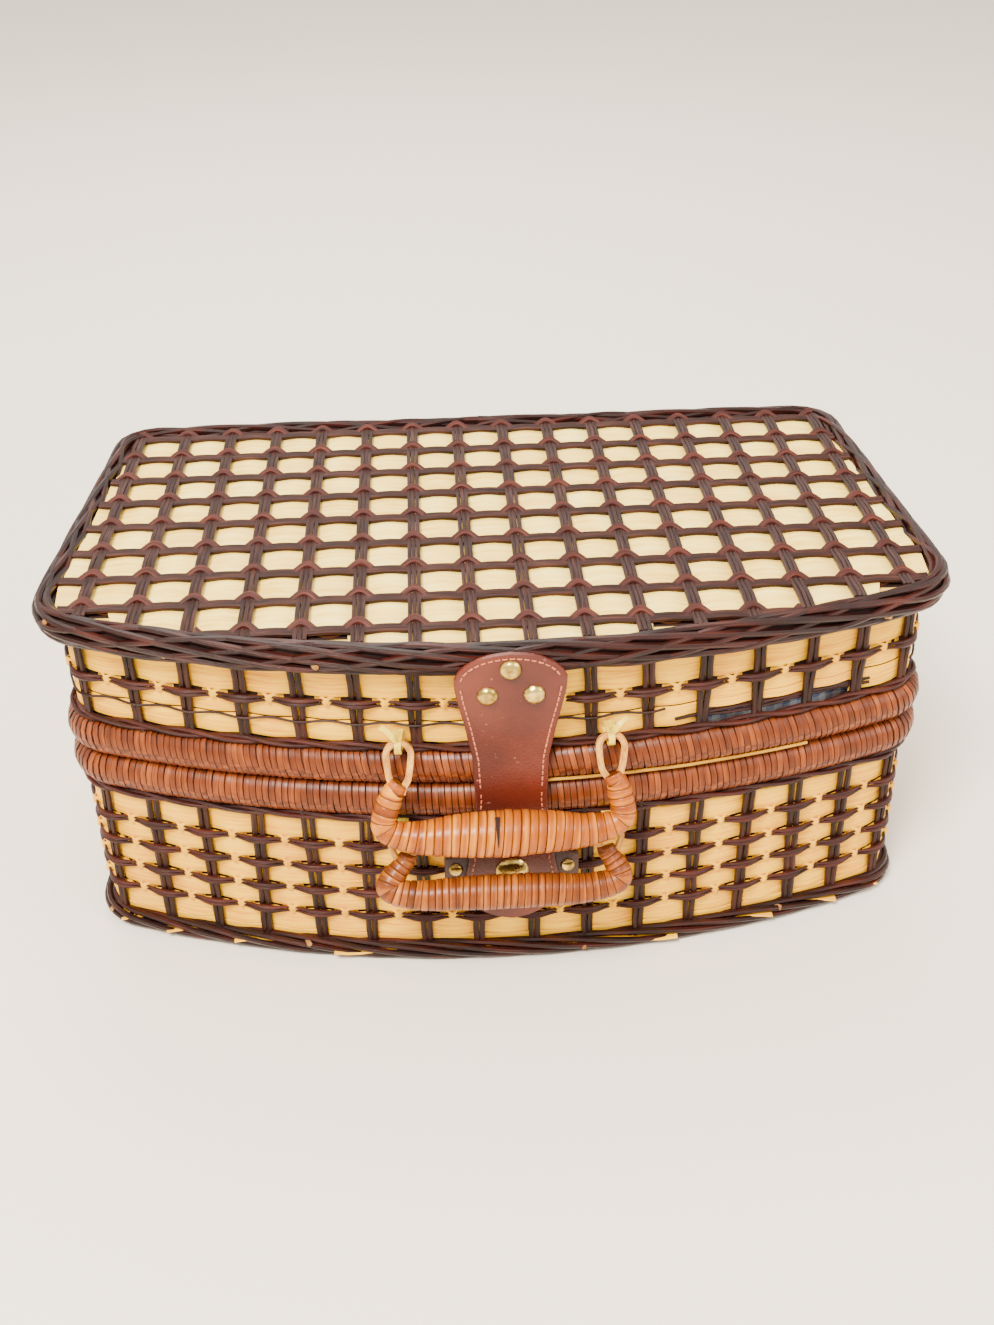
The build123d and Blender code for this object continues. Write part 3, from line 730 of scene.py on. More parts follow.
def splint_rows(name, heights, high, body, bulge=0.7, seed=1.0, spans=((0.0, CELLS),)):
    """Flat splints behind the stakes. In the middle of each cell they bow out."""
    rows = [ring_line(SPLINTS_IN, z, 8, first, last) for z in heights for first, last in spans]
    return strands(name, rows, flat_profile(1.0, high, 0.5), SPLINT, body, Out=bulge, Jitter=0.5,
                   JitterScale=25.0, Seed=seed)


def link_rows(name, heights, body, seed=2.0):
    """Narrow splints that come to the front for a moment in the middle of each cell."""
    rows = [ring_line(LINKS_IN, z + 0.3, 12) for z in heights]
    return strands(name, rows, flat_profile(1.0, LINK_HIGH, 0.4), SPLINT, body, Out=2.5, Sharp=7.0,
                   Jitter=0.3, Seed=seed)


def dash_rows(name, heights, body, seed=3.0):
    """Pairs of rods in front of the stakes. They duck behind the links."""
    rows = [ring_line(RODS_IN, z + side, 12) for z in heights for side in (-1.05, 1.05)]
    return strands(name, rows, round_profile(1.05, 6), DASH_ROD, body, Out=-1.35, Sharp=1.3, Up=-0.2,
                   Swell=-0.4, Jitter=1.0, JitterScale=45.0, Seed=seed)


def painted_shade_rows(name, heights, body, spans=((0.0, CELLS),)):
    """Painted shade: dark strands behind the gaps between the rows of splints, so that the gaps read as
    shadow.
    """
    rows = [ring_line(SHADE_STRIPS_IN, z, 4, first, last) for z in heights for first, last in spans]
    return strands(name, rows, flat_profile(0.8, 5.6, 0.3), SHADE, body)


def stake_rods(name, low, high, body, seed=1):
    """Two upright rods at each stake, half-way between the cells' middles and a little out of true."""
    turn = np.arange(CELLS) + 0.5
    points = level_line(turn, *outline(turn, STAKES_IN), (low + high) / 2)
    half = (high - low) / 2
    levels = np.linspace(-half, half, 9)
    rods, faces, around = [], [], []
    sides = 6
    for side in (-1, 1):
        start = len(rods)
        for z in levels:
            bend = 0.35 * math.sin(z * 0.21 + side)
            for k in range(sides):
                angle = k / sides * TAU
                aside = side * (1.85 + 0.25 * z / half) + bend
                rods.append((1.5 * math.cos(angle), aside + 1.7 * math.sin(angle), z))
                around.append(k / sides)
        faces += tube_faces(len(levels), sides, start)
    piece = mesh_object("rod_pair", rods, (), faces)
    carry(piece, "around", around)
    carry(piece, "turn", np.array(rods)[:, 2] / CELL)
    return set_pieces(name, [points], piece, STAKE_ROD, body, Tilt=0.03, Spin=0.3, Size=0.03, Seed=seed)


# %% Weave the base's wall
splint_heights = [FOOT_TOP + ROW_PITCH * (k + 0.5) for k in range(5)]
base_splints = splint_rows("base_splint_rows", splint_heights, SPLINT_HIGH, "base")
splint_rows("base_foot_splints", [FOOT_TOP - 2.5], 6.4, "base", bulge=0.2, seed=12.0)
link_rows("base_pale_links", BASE_DASHES, "base")
# Painted shade behind the gaps at the dash rows, the twine and the foot's top.
painted_shade_rows("base_backing_strands", BASE_DASHES + [BASE_TWINE, FOOT_TOP], "base")
base_dashes = dash_rows("base_dash_rods", BASE_DASHES, "base")
base_stakes = stake_rods("base_stake_rods", FOOT_TOP - 6, BASE_RIM_LOW + 4, "base")
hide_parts("base_wall")
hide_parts("base_stakes")
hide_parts("base_weavers")

# %% [markdown]
# ## Lapped rims
#
# Each rim is a hoop of rods wrapped with strips of orange-brown cane, almost four hundred turns
# of it. One turn is a flat strip bent round the hoop's section. It is modelled once, with rounded
# corners, and the second tree sets it all round with a slight lean and small differences. A dark
# core shows in the gaps between the turns.

# %% Materials of the rims
# The lapping's strip edges carry painted shade, for the dark gaps between the turns.
LAPPING = fibre("orange_brown_lapping", (56, 21, 4), (100, 43, 11), (146, 74, 26), (1.5, 3.0), 0.6,
                (0.3, 0.5), 0.2, coat=0.1, groove_shade=0.85)
CORE = fibre("dark_hoop_core", (40, 18, 12), (70, 34, 22), (96, 50, 32), (1.0, 4.0), 0.4, (0.6, 0.8), 0.1)


# %% One turn of lapping, and the turns of a whole rim
LAPPING_SECTION = ((-0.5, 0.0), (-0.42, 1.0), (0.0, 1.1), (0.42, 1.0), (0.5, 0.0))


def lapping_turn(radius_out, radius_up, wide, thick):
    """A flat strip bent round an oval section, wide along the rim, with a crowned outside."""
    around_count = 12
    across = [(share * wide, lift * thick) for share, lift in LAPPING_SECTION]
    points, faces, around, along, edge = [], [], [], [], []
    for k in range(around_count):
        angle = k / around_count * TAU
        c, s = math.cos(angle), math.sin(angle)
        for y, lift in across:
            points.append(((radius_out + lift) * c, y, (radius_up + lift) * s))
            around.append(y / wide)
            # edge marks the strip's two edges, where the material paints shade.
            edge.append(1.0 if abs(y) > wide * 0.45 else 0.0)
            along.append(k / around_count * 2)
    row = len(across)
    for k in range(around_count):
        for j in range(row - 1):
            a, b = k * row + j, ((k + 1) % around_count) * row + j
            faces.append((a, a + 1, b + 1, b))
    piece = mesh_object("lapping_turn", points, (), faces)
    carry(piece, "around", around)
    carry(piece, "turn", along)
    carry(piece, "edge", edge)
    return piece


RIM_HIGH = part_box("base_rim_outer_hoop")[1].z / MM - BASE_RIM_LOW
RIM_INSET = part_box("base_rim_outer_hoop")[0].y / MM - FRONT_Y
LAPPING_TURNS = 384
RIM_THROUGH = 15.0


def lapped_rim(name, low, lean, body, seed):
    """A dark core and the lapping round it. Returns the lapping."""
    middle, half = low + RIM_HIGH / 2, RIM_HIGH / 2
    inset = RIM_INSET + RIM_THROUGH / 2
    section = round_profile(half - 1.2, 10, (RIM_THROUGH / 2 - 1) / (half - 1.2))
    strands(f"{name}_core", [ring_line(inset, middle, 4)], section, CORE, body)
    turn = (np.arange(LAPPING_TURNS) + 0.5) / LAPPING_TURNS * CELLS
    points = level_line(turn, *outline(turn, inset), middle)
    strip = CELLS * CELL / LAPPING_TURNS
    piece = lapping_turn(RIM_THROUGH / 2 - 0.6, half - 0.6, strip, 0.5)
    return set_pieces(f"{name}_lapping", [points], piece, LAPPING, body, Tilt=0.05, Size=0.012, Lean=lean,
                      Seed=seed)


base_laps = lapped_rim("base_rim", BASE_RIM_LOW, 0.05, "base", 5)
lid_laps = lapped_rim("lid_rim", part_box("lid_rim_outer_hoop")[0].z / MM, 0.2, "lid", 6)
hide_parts("base_rim_outer_hoop", "base_rim_inner_hoop")
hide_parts("lid_rim_outer_hoop", "lid_rim_inner_hoop")

# %% [markdown]
# ## Twisted borders
#
# The foot and the top edge are plaited borders: long dark rods that lie nearly level and pass
# over each other at a very low angle. They are strands of the first tree with a quarter turn
# between their in-out and up-down waves. The top border is thicker and has more rods.

# %% Twist the foot border, the twines and the top border
def twist(name, inset, height, rods, radius, across, up, per_turn, body, material, seed, jitter=0.8):
    """Rods twisted round each other. per_turn is about how many cells one full turn takes: each rod ends
    where another starts, so that the ring closes."""
    turns = round(CELLS / per_turn * rods) / rods
    line = ring_line(inset, height, 6)
    return strands(name, [line], round_profile(radius, 7), material, body, Strands=rods, Waves=turns / CELLS,
                   Out=across, Up=up, UpPhase=0.25, Jitter=jitter, JitterScale=18.0, Seed=seed)


def twine(name, height, body, seed):
    """Two rods twisted round each other along a rim."""
    twist(name, RODS_IN, height, rods=2, radius=1.35, across=1.2, up=1.4, per_turn=2.0, body=body,
          material=DASH_ROD, seed=seed)


foot_border = twist("foot_border_rods", RODS_IN, FOOT_TOP / 2, rods=6, radius=1.7, across=3.0, up=4.4,
                    per_turn=7.0, body="base", material=BORDER_ROD, seed=20.0, jitter=2.0)
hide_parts("base_foot_border")
twine("base_twine_rods", BASE_TWINE, "base", 21.0)
border_middle, border_half = (TOP + BORDER_LOW) / 2, (TOP - BORDER_LOW) / 2
border_up = border_half - 2.6
top_border = twist("top_border_rods", 6.6, border_middle, rods=7, radius=1.9, across=4.2, up=border_up,
                   per_turn=11.0, body="lid", material=BORDER_ROD, seed=22.0, jitter=3.0)
twist("top_border_counter_rods", 6.8, border_middle, rods=5, radius=1.7, across=4.4, up=border_up,
      per_turn=-7.0, body="lid", material=BORDER_ROD, seed=24.0, jitter=3.4)
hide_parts("lid_top_border")
END_CUT = fibre("pale_cut_end", (104, 66, 28), (152, 104, 54), (186, 142, 84), (3.0, 4.0), 0.6, (0.6, 0.8),
                0.1)


def cut_end():
    """The pale end of a rod that pokes out of a border."""
    sides = 7
    ring = [(math.cos(k / sides * TAU), math.sin(k / sides * TAU)) for k in range(sides)]
    rings = ((-3.0, 1.3), (0.7, 1.3), (1.0, 0.9))
    points = [(x, radius * c, radius * s) for x, radius in rings for c, s in ring]
    piece = mesh_object("cut_end", points, (), tube_faces(3, sides) + [ring_face(2, sides)])
    carry(piece, "turn", [point[0] * 0.3 for point in points])
    carry(piece, "around", [point[1] * 0.3 for point in points])
    return piece


def cut_ends(name, inset, low, high, every, body, seed):
    """Cut ends here and there along a border."""
    chance = np.random.default_rng(seed)
    turn = np.arange(0, CELLS, every)
    count = len(turn)
    turn = turn + chance.uniform(-0.5, 0.5, count)
    places, out = outline(turn, inset + chance.uniform(0, 1.6, count))
    points = level_line(turn, places, out, chance.uniform(low, high, count))
    aside = np.column_stack([-out[:, 1], out[:, 0], np.full(count, 0.25)])
    points["out"] = points["out"] + aside * chance.uniform(0.5, 1.1, (count, 1))
    set_pieces(name, [points], cut_end(), END_CUT, body, Tilt=0.3, Spin=0.2, Size=0.2, Seed=seed)


cut_ends("top_border_cut_ends", 1.6, BORDER_LOW + 4, TOP - 5, 2.4, "lid", 81)
cut_ends("foot_border_cut_ends", 8.2, 3.0, FOOT_TOP - 2, 4.6, "base", 82)
# Painted shade: a dark filling inside the top border, seen through the gaps between its rods.
filling = round_profile(border_half - 4.0, 8, 0.5)
strands("top_border_core", [ring_line(7.2, border_middle, 4)], filling, SHADE, "lid")
twine("lid_twine_rods", LID_RIM_TOP + 2.4, "lid", 23.0)

# %% [markdown]
# ## The lid's wall
#
# The lid's wall is woven as the base's is, but lower: one tall row of splints, a dash row, a
# narrower row, a thin dark line, and a last thin row above the rim. On the right of the front the
# last row is worn low and the dark line is gone, so that the blue and white lining shows.

# %% Weave the lid's wall
LID_DASH = 168.0
LID_LINE = 156.5
lid_splints = splint_rows("lid_tall_splints", [178.6], 17.0, "lid", seed=6.0)
splint_rows("lid_low_splints", [161.3], 9.0, "lid", seed=7.0)
WORN_FROM, WORN_TO = 25.4, 28.4
WHOLE = ((0.0, WORN_FROM), (WORN_TO, CELLS))
TWIGS = ((14.6, 147.8), (15.4, 149.4), (16.2, 150.8))
splint_rows("lid_thin_splints", [149.8], 12.0, "lid", seed=8.0, spans=WHOLE)
splint_rows("lid_worn_splints", [153.9], 5.2, "lid", seed=8.5, spans=((WORN_FROM, WORN_TO),))
# Painted shade behind the gaps at the dash row and above the rim.
painted_shade_rows("lid_backing_strands", [LID_DASH], "lid")
painted_shade_rows("lid_low_backing_strands", [LID_RIM_TOP + 3], "lid", WHOLE)
twig_lines = [ring_line(inset, z, 8, WORN_FROM - 0.4, WORN_TO + 0.4) for inset, z in TWIGS]
strands("worn_twigs", twig_lines, round_profile(0.9, 6), STAKE_ROD, "lid", Jitter=7.0, JitterScale=24.0,
        Seed=90.0)
link_rows("lid_pale_links", [LID_DASH], "lid", seed=9.0)
lid_dashes = dash_rows("lid_dash_rods", [LID_DASH], "lid", seed=10.0)
line_spans = ((0.0, WORN_FROM - 0.6), (WORN_TO + 1.2, CELLS))
dark_lines = [ring_line(RODS_IN, LID_LINE, 8, *span) for span in line_spans]
strands("lid_dark_line", dark_lines, round_profile(0.7, 5), STAKE_ROD, "lid", Out=-1.0, Up=0.3, Jitter=1.2,
        Seed=11.0)
lid_stakes = stake_rods("lid_stake_rods", LID_RIM_TOP - 4, BORDER_LOW + 4, "lid", seed=2)
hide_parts("lid_wall")
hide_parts("lid_stakes")
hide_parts("lid_weavers")

# %% [markdown]
# ## The lid's top
#
# Columns of dark rods run from front to back. Rows of rods run from side to side: they lie
# straight in the middle of a cell, and rise and arch towards the back where they cross a column.
# Pale splints lie under both and show as cream cells.

# %% Places of the columns and rows, from the frame's rods
COLUMN_PITCH = 28.0
ROW_ROD_PITCH = 30.0
FIRST_ROW_FROM_BACK = 17.0
COLUMNS = 16
TOP_INSET = 11.0
TOP_ROWS = int((BACK_Y - FRONT_Y - 12.0 - FIRST_ROW_FROM_BACK) / ROW_ROD_PITCH) + 1
row_places = [BACK_Y - FIRST_ROW_FROM_BACK - k * ROW_ROD_PITCH for k in range(TOP_ROWS)]
column_places = [(k + 0.5 - COLUMNS / 2) * COLUMN_PITCH for k in range(COLUMNS)]
print(f"top: {COLUMNS} columns and {TOP_ROWS} rows of rods")


def crossings(axis, value, inset):
    """Where the outline at an inset crosses x = value (axis 0) or y = value (axis 1), low and high."""
    inner_places = outline(np.linspace(0, CELLS, 1200), inset)[0]
    along, other = inner_places[:, axis] - value, inner_places[:, 1 - axis]
    found = []
    for k in np.nonzero(np.sign(along[:-1]) != np.sign(along[1:]))[0]:
        share = along[k] / (along[k] - along[k + 1])
        found.append(other[k] + share * (other[k + 1] - other[k]))
    return (min(found), max(found)) if len(found) > 1 else None


def straight_line(axis, value, height, pitch, start, samples, shift, inset):
    """A guide across the plan along x (axis 1) or y (axis 0). turn counts the pitches it crosses."""
    span = crossings(axis, value, inset)
    if span is None:
        return None
    count = max(4, int((span[1] - span[0]) / pitch * samples))
    run = np.linspace(span[0], span[1], count)
    fixed, flat = np.full(count, value + shift), np.full(count, float(height))
    points = (fixed, run, flat) if axis == 0 else (run, fixed, flat)
    aside = [1.0, 0.0, 0.0] if axis == 0 else [0.0, 1.0, 0.0]
    return {
        "points": np.column_stack(points),
        "turn": (run - start) / pitch,
        "out": np.tile([0.0, 0.0, 1.0], (count, 1)),
        "up": np.tile(aside, (count, 1)),
    }


def lines_at(axis, values, height, pitch, start, samples=8, shifts=(0.0,), inset=TOP_INSET):
    """Guides across the plan at some places, side by side where there are several shifts."""
    made = [straight_line(axis, value, height, pitch, start, samples, shift, inset)
            for shift in shifts for value in values]
    return [line for line in made if line is not None]


def trim_to_outline(made, inset):
    """Draws every vertex that lies outside the plan, at an inset, back onto its edge."""
    edge, outward = outline(np.linspace(0, CELLS, 1200), inset)
    count = len(made.data.vertices)
    places = np.empty(count * 3)
    made.data.vertices.foreach_get("co", places)
    places = places.reshape(count, 3) / MM
    nearest = np.array([np.argmin(((edge - p) ** 2).sum(axis=1)) for p in places[:, :2]])
    beyond = ((places[:, :2] - edge[nearest]) * outward[nearest]).sum(axis=1) > 0
    places[beyond, :2] = edge[nearest[beyond]]
    made.data.vertices.foreach_set("co", (places * MM).ravel())
    made.data.update()
    print(f"{made.name}: {int(beyond.sum())} vertices trimmed to the outline")


# %% Lay the pale splints, the columns, the rows and the arches over the columns
ROD_TOP = TOP - 2.2
splint_bands = [y - ROW_ROD_PITCH / 2 for y in row_places]
splint_bands += [row_places[0] + 11.0, row_places[-1] - 1.5 * ROW_ROD_PITCH]
band_lines = lines_at(1, splint_bands, ROD_TOP - 4.2, COLUMN_PITCH, column_places[0])
top_splints = strands("top_splints", band_lines, flat_profile(1.0, 26.0, 0.5), TOP_SPLINT, "lid", Out=-0.8,
                      Jitter=0.5, Seed=30.0)
trim_to_outline(top_splints, TOP_INSET)
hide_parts("lid_top_panel")
UNDER_SIDES = 176
under_places = outline(np.arange(UNDER_SIDES) / UNDER_SIDES * CELLS, TOP_INSET)[0]
under_points = np.column_stack([under_places, np.full(UNDER_SIDES, ROD_TOP - 6.2)])
underlay = mesh_object("top_underlay", under_points, (), [ring_face(0, UNDER_SIDES)])
carry(underlay, "turn", under_places[:, 0] / CELL)
carry(underlay, "around", under_places[:, 1] / 26.0)
hang(shaded(underlay, 40, TOP_SPLINT), "lid")
# Painted shade: dark strips under the rows of rods, for the shadow in the gaps of the lid's top.
shade_lines = lines_at(1, row_places, ROD_TOP - 5.4, COLUMN_PITCH, column_places[0], 2)
strands("top_backing_strands", shade_lines, flat_profile(0.6, 8.0, 0.3), SHADE, "lid")
column_lines = lines_at(0, column_places, ROD_TOP - 1.6, ROW_ROD_PITCH, row_places[0], 8, (-2.3, 0.0, 2.3))
column_rods = strands("top_column_rods", column_lines, round_profile(1.2, 6), TOP_ROD, "lid", Out=-0.5,
                      Jitter=1.0, JitterScale=14.0, Seed=31.0)
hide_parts("lid_column_rods")
row_lines = lines_at(1, row_places, ROD_TOP - 2.2, COLUMN_PITCH, column_places[0], 8, (-3.4, -1.1, 1.2))
row_rods = strands("top_row_rods", row_lines, round_profile(1.25, 6), TOP_ROD, "lid", Out=-0.3, Jitter=0.4,
                   JitterScale=16.0, Seed=32.0)
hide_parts("lid_row_rods")
arch_lines = lines_at(1, row_places, ROD_TOP - 2.4, COLUMN_PITCH, column_places[0], 14, (0.6, 2.4, 4.0))
strands("top_arch_rods", arch_lines, round_profile(1.15, 6), ARCH_ROD, "lid", Out=1.9, Sharp=1.5, Up=3.2,
        SharpUp=1.6, Jitter=0.8, JitterScale=16.0, Seed=33.0)

# %% [markdown]
# ## The wound handles
#
# Each handle is a cane core, bent into a U and wound from end to end with one strip of glossy
# cane. The winding swells over the middle of the grip. A third tree makes it: it sweeps a round
# section along the bent core, narrows it at each turn's edges, so that a groove shows between the
# turns, and slants the turns. Above the winding the core's end is a pale loop, the eye.

# %% Materials of the handles
# Both windings carry painted shade on the edges of each turn, in the groove between turns.
WINDING = fibre("golden_winding", (98, 38, 2), (158, 78, 4), (216, 136, 16), (1.6, 3.0), 0.6, (0.25, 0.45),
                0.18, coat=0.12, groove_shade=0.8)
BASE_WINDING = fibre("brown_winding", (68, 27, 3), (120, 56, 9), (180, 104, 26), (1.6, 3.0), 0.6,
                     (0.28, 0.48), 0.18, coat=0.1, groove_shade=0.8)
PALE_CANE = fibre("pale_peeled_cane", (136, 82, 24), (198, 136, 56), (230, 178, 86), (3.0, 8.0), 0.4,
                  (0.3, 0.5), 0.12, coat=0.1)
TIE_CANE = fibre("yellow_green_tie", (176, 142, 24), (222, 190, 50), (240, 216, 84), (3.0, 6.0), 0.4,
                 (0.3, 0.5), 0.1, coat=0.05)
print("handle materials: 4")

# %% Where the handles hang, from the frame's joints
JOINTS = {joint["name"]: joint for joint in frame["joints"]}
EYE_X = 53.0
ASKEW = 2.5


def swung(joint_name, lean):
    """Turns (x, drop, front) in a handle's own plane into places in the frame, in mm."""
    pivot = [value / MM for value in JOINTS[joint_name]["pos_m"]]
    angle = math.radians(lean)
    down = np.array([0, -math.sin(angle), -math.cos(angle)])
    front = np.array([0, -math.cos(angle), math.sin(angle)])
    across = np.array([1.0, 0, 0])

    def place(points):
        points = np.asarray(points, float)
        start = np.array([0, pivot[1], pivot[2]])
        return start + points[:, :1] * across + points[:, 1:2] * down + points[:, 2:3] * front

    return place, across, down, front


def smooth_line(points, count):
    """A Catmull-Rom line through a few points, evenly spaced."""
    points = np.asarray(points, float)
    ends = np.vstack([2 * points[0] - points[1], points, 2 * points[-1] - points[-2]])
    run = []
    for k in range(1, len(ends) - 2):
        a, b, c, d = ends[k - 1:k + 3]
        t = np.linspace(0, 1, 24, endpoint=False)[:, None]
        square, cube = 2 * a - 5 * b + 4 * c - d, 3 * b - a - 3 * c + d
        run.append(0.5 * (2 * b + (c - a) * t + square * t**2 + cube * t**3))
    run = np.vstack(run + [points[-1:]])
    return along_line(run, np.linspace(0, lengths(run)[-1], count))


def along_line(points, distances):
    """The places on a line of points at some distances from its start."""
    run = lengths(points)
    return np.column_stack([np.interp(distances, run, points[:, k]) for k in range(points.shape[1])])


def sideways(points):
    """The unit direction along a line of points in a plane, turned to its side: two columns."""
    step = np.gradient(points, axis=0)
    step /= np.linalg.norm(step, axis=1)[:, None]
    return step[:, 1:2], -step[:, 0:1]


def free_line(points, out, up, pitch):
    """A guide through any points. out may be one direction or one for each point."""
    count = len(points)
    out = np.broadcast_to(np.asarray(out, float), (count, 3))
    up = np.broadcast_to(np.asarray(up, float), (count, 3))
    return {"points": points, "turn": lengths(points) / pitch, "out": out, "up": up}


# %% The bent core of a handle
def handle_core(half, drop, start, elbow):
    """The right half of the bent core, from under the eye to the middle: (x, drop) points in its plane."""
    corner = np.array([half, drop])
    above = np.array([EYE_X, start])
    along = (corner - above) / np.linalg.norm(corner - above)
    turn = math.pi / 2 + math.atan2(half - EYE_X, drop - start)
    reach = elbow * math.tan(turn / 2)
    arc_start, arc_end = corner - along * reach, corner - np.array([reach, 0])
    bend = (arc_start + arc_end) / 2 * 0.5 + corner * 0.5
    middle = np.array([0, drop])
    return [above, (above + arc_start) / 2, arc_start, bend, arc_end, arc_end * 0.5 + middle * 0.5, middle]


# %% The tree that winds a strip round a core
def winding_tree():
    tree = Tree("wound_strip", Groove=float, Slant=float, Uneven=float, Seed=int,
                Profile=bpy.types.Object, Material=bpy.types.Material)
    given = tree.given
    curve = tree.add("GeometryNodeMeshToCurve", given["Geometry"])
    turn = tree.stored("turn")
    whole = tree.math("FLOOR", turn)
    from_middle = tree.math("ABSOLUTE", tree.math("SUBTRACT", tree.math("SUBTRACT", turn, whole), 0.5))
    edge = tree.math("POWER", tree.math("MULTIPLY", from_middle, 2.0), 9.0)
    groove = tree.math("MULTIPLY", edge, given["Groove"])
    chance = tree.add("FunctionNodeRandomValue", -1.0, 1.0, whole, given["Seed"], data_type="FLOAT")
    uneven = tree.math("MULTIPLY_ADD", chance, given["Uneven"], 1.0)
    thickness = tree.math("MULTIPLY", tree.stored("size"), tree.math("SUBTRACT", uneven, groove))
    # edge shapes the groove, and the material also paints shade where it is high.
    for label, value, kind in (
        ("centre", tree.add("GeometryNodeInputPosition"), "FLOAT_VECTOR"),
        ("ahead", tree.add("GeometryNodeInputTangent"), "FLOAT_VECTOR"),
        ("strand", tree.math("MULTIPLY", whole, 1.37), "FLOAT"),
        ("edge", edge, "FLOAT"),
    ):
        curve = tree.store(curve, label, value, kind)
    outward, position = tree.stored("out", "FLOAT_VECTOR"), tree.add("GeometryNodeInputPosition")
    curve = tree.add("GeometryNodeSetCurveNormal", curve, None, outward, mode="FREE")
    swept = tree.add("GeometryNodeCurveToMesh", curve, tree.section(), thickness, True)
    centre = tree.stored("centre", "FLOAT_VECTOR")
    aside = tree.add("ShaderNodeVectorMath", position, centre, operation="SUBTRACT")
    reach = tree.add("ShaderNodeVectorMath", aside, outward, operation="DOT_PRODUCT", output=0)
    slip = tree.scaled(tree.stored("ahead", "FLOAT_VECTOR"), tree.math("MULTIPLY", reach, given["Slant"]))
    slanted = tree.add("GeometryNodeSetPosition", swept, None, None, slip)
    return tree.end(slanted, given["Material"])


WINDING_TREE = winding_tree()


# %% Wind the two handles
def wound_handle(name, lean, half, drop, start, elbow, shank_r, grip_r, pitch, slant, material, seed):
    """The wound core of one handle, named as its body."""
    place, across, down, front = swung(f"{name}_swing", lean)
    right = smooth_line(handle_core(half, drop, start, elbow), 400)
    core = np.vstack([right, (right * mirror_x)[::-1][1:]])
    distance = lengths(core)
    turns = int(distance[-1] / pitch)
    spots = np.linspace(0, distance[-1], turns * 12 + 1)
    flat_places = along_line(core, spots)
    to_side, to_low = sideways(flat_places)
    normal = to_side * across + to_low * down
    reach = np.clip(1 - np.abs(flat_places[:, 0]) / (half * 0.9), 0, 1)
    low = np.clip((flat_places[:, 1] - drop * 0.8) / (drop * 0.2), 0, 1)
    swell = np.sin(reach * math.pi / 2) ** 1.3 * low
    near_eye = np.clip((flat_places[:, 1] - start) / 10.0, 0, 1)
    size = (shank_r + (grip_r - shank_r) * swell) * (0.72 + 0.28 * near_eye)
    flat_places[:, 0] -= ASKEW * np.clip((flat_places[:, 1] - start) / (drop - start), 0, 1)
    line = free_line(place(np.column_stack([flat_places, np.zeros(len(spots))])), normal, front, pitch)
    line["turn"] = spots / distance[-1] * turns
    line["size"] = size / grip_r
    section = round_profile(grip_r, 22)
    winding = run_tree(f"{name}_winding", guide([line]), WINDING_TREE, material, 60, Groove=0.08, Slant=slant,
                       Uneven=0.02, Seed=seed, Profile=section)
    bpy.data.objects.remove(section)
    return hang(winding, name, f"{turns} turns, ")


LID_LEAN, BASE_LEAN = 20.2, 31.6
lid_winding = wound_handle("lid_handle", LID_LEAN, half=69.0, drop=47.0, start=18.0, elbow=15.0, shank_r=6.4,
                           grip_r=11.9, pitch=4.2, slant=0.1, material=WINDING, seed=41)
base_winding = wound_handle("base_handle", BASE_LEAN, half=71.0, drop=31.0, start=13.5, elbow=11.0,
                            shank_r=6.8, grip_r=9.2, pitch=3.5, slant=0.06, material=BASE_WINDING, seed=42)


def nick():
    """The dark V where two lengths of the lid handle's winding meet, as a sheet of painted shade for the gap
    between them.
    """
    place = swung("lid_handle_swing", LID_LEAN)[0]
    radius, count = 12.2, 8
    points = []
    for half, angle in zip(np.linspace(0.2, 1.3, count), np.linspace(-0.35, 1.0, count)):
        drop, front = 46.4 - radius * math.sin(angle), radius * math.cos(angle)
        points += [(-5.2 + side * half, drop, front) for side in (-1, 1)]
    faces = [(2 * k, 2 * k + 1, 2 * k + 3, 2 * k + 2) for k in range(count - 1)]
    hang(shaded(mesh_object("winding_nick", place(points), (), faces), 40, SHADE), "lid_handle")


nick()
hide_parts("lid_handle_grip")
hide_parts("base_handle_grip")


# %% Bend the eyes and lay the ties round them
def eyes(body, lean, bottom, seed):
    """Pale teardrop loops above the winding, of flat cane on edge."""
    place, across, down, front = swung(f"{body}_swing", lean)
    teardrop = [(1.0, bottom + 3), (2.2, bottom - 1), (4.8, bottom - 5.5)]
    teardrop += [(6.3, 5.0), (5.4, 0.8), (3.0, -1.4), (0, -2.0)]
    half_loop = smooth_line(teardrop, 26)
    loop = np.vstack([half_loop, (half_loop * mirror_x)[::-1][1:]])
    to_side, to_low = sideways(loop)
    outward = to_side * across + to_low * down
    lines = []
    for side in (-1, 1):
        shifted = loop + np.array([side * EYE_X, 0])
        places = place(np.column_stack([shifted, np.zeros(len(loop))]))
        lines.append(free_line(places, outward, front, 12.0))
    return strands(f"{body}_loops", lines, flat_profile(3.2, 3.6, 1.0), PALE_CANE, body, Jitter=1.2,
                   JitterScale=60.0, Seed=seed)


lid_eyes = eyes("lid_handle", LID_LEAN, 21.0, 50.0)
base_eyes = eyes("base_handle", BASE_LEAN, 15.0, 51.0)
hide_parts("lid_handle_eyes")
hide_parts("base_handle_eyes")


